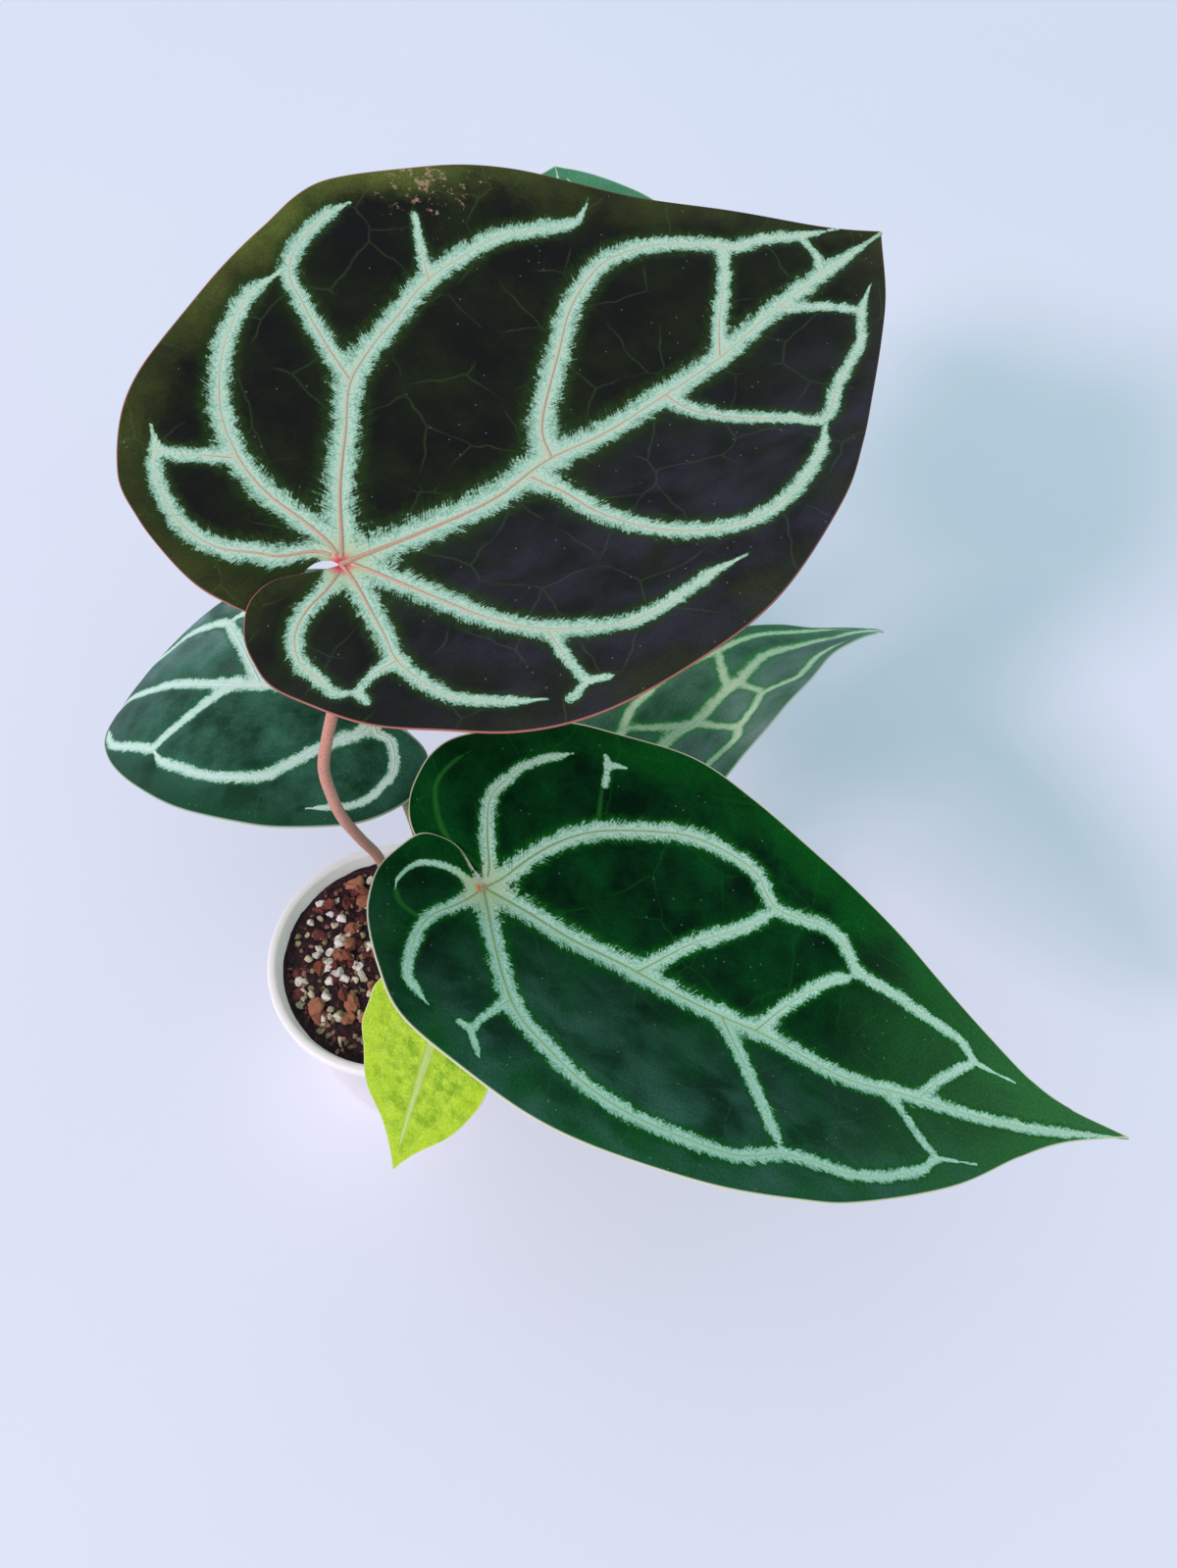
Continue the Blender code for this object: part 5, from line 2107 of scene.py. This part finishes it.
def young_lime_leaf() -> Leaf:
    """The small bright leaf that hangs over the pot's front.

    Returns:
        The leaf.
    """
    half = (
        (79, 0), (71, 3.5), (61, 9), (48, 17.5), (33, 24), (20, 27), (8, 27), (-2, 24), (-9, 19), (-13, 13),
        (-12, 7), (-8, 3.5), (-4, 1.5),
    )
    midrib = (Vein(((0, 0), (30, 0), (68, 0)), 2.0, 0.5),)
    faint = heart_veins(79, 1.05, (Side.LEFT, Side.RIGHT), 1.0, faint=True)
    return Leaf(
        name="leaf_young_lime",
        slot="leaf_lime",
        pose=Pose((30, -43, 142), -120.5, -49, 4.3, 1.9, 7.1, 0.17, 0),
        left=half,
        right=half,
        veins=midrib + faint,
        face=LIME_FACE,
        underside=LIME_BACK,
        rib_colours=("#b6da80", "#b0d470"),
        waves=13,
        spoke_gap=0.9,
        ring_gap=1.1,
        quilt=0.4,
        rib_radius=0.4,
        thread_radius=0.16,
        thickness=0.5,
    )


def back_leaf() -> Leaf:
    """The leaf behind, of which only the tip shows past the largest one.

    Returns:
        The leaf.
    """
    half = (
        (131, 0), (128, 4), (124, 9.5), (118, 16), (109, 24), (98, 32), (84, 39), (68, 45), (50, 49),
        (32, 51), (14, 49), (-1, 43), (-12, 34), (-18, 24), (-19, 14), (-15, 6), (-8, 3),
    )
    midrib = (Vein(((0, 0), (60, 0), (131, 0)), 2.2, 0.8),)
    return Leaf(
        name="leaf_back",
        slot="leaf_green",
        pose=Pose((86, 146, 243), 99.5, 11, -7, 2.0, 0, 0.05, 0),
        left=half,
        right=half,
        veins=midrib + heart_veins(131, 1.25, (Side.LEFT, Side.RIGHT), 2.0),
        face=GREEN_FACE,
        underside=GREEN_BACK,
        rib_colours=("#d5e8d2", "#b0cfb0"),
        rib_radius=0.45,
    )


def stalks(leaves: dict[str, Leaf]) -> list[Stalk]:
    """The six stalks.

    Args:
        leaves: the leaves by name.

    Returns:
        A stalk for each leaf.
    """
    return [
        Stalk(
            "petiole_top_dark", "petiole_salmon", leaves["leaf_top_dark"], 200, 92,
            (
                (6.5, 13.5, 101), (4.5, 12.6, 125), (3.1, 11.6, 150), (0.6, 8, 170), (-2, 5.4, 190),
                (-4, 7.9, 201), (-5, 11.9, 211), (-2.5, 17, 221), (1.5, 26, 233), (3.5, 40, 245),
            ),
            1.95, SALMON_STALK,
        ),
        Stalk(
            "petiole_front_emerald", "petiole_olive", leaves["leaf_front_emerald"], -50, 96,
            ((25, 7, 104), (31, -1, 125), (38, -11, 150), (43, -17, 170)), 2.1, OLIVE_STALK,
        ),
        Stalk(
            "petiole_left_lower", "petiole_olive", leaves["leaf_left_lower"], 122, 99,
            (
                (12.2, 25.5, 106), (13.5, 27, 122), (14.6, 28, 136), (12.8, 31.5, 150), (7, 44, 162),
                (3.5, 54, 167),
            ),
            1.9, OLIVE_STALK,
        ),
        Stalk(
            "petiole_right_lower", "petiole_olive", leaves["leaf_right_lower"], 8, 93,
            ((32, 19, 97), (50, 21, 102.5), (67, 23, 108), (80, 24.5, 115)), 1.9, OLIVE_STALK,
        ),
        Stalk(
            "petiole_young_lime", "petiole_olive", leaves["leaf_young_lime"], -105, 101,
            ((14.8, 7, 106), (16, 0, 118), (22, -13, 130), (29, -28, 136)), 1.4, LIME_STALK,
        ),
        Stalk(
            "petiole_back", "petiole_olive", leaves["leaf_back"], 66, 106,
            ((22, 29, 113), (28, 44, 124), (37, 68, 142), (50, 96, 168), (68, 123, 204), (80, 139, 228)), 2.0,
            OLIVE_STALK,
        ),
    ]


def main() -> None:
    """Build every piece around the frame and report each."""
    logging.basicConfig(level=logging.INFO, format="%(message)s")
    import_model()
    Studio().build()
    pot = NurseryPot()
    pieces = [pot.build(), PottingMix(pot).build(), RingedStem().build()]
    upper = (top_dark_leaf(), front_emerald_leaf())
    lower = (left_lower_leaf(), right_lower_leaf(), young_lime_leaf(), back_leaf())
    leaves = {leaf.name: leaf for leaf in upper + lower}
    for leaf in leaves.values():
        pieces += leaf.build()
    pieces += [stalk.build() for stalk in stalks(leaves)]
    for piece in pieces:
        LOG.info("%s: %d faces", piece.name, len(piece.data.polygons))


if __name__ == "__main__":
    main()
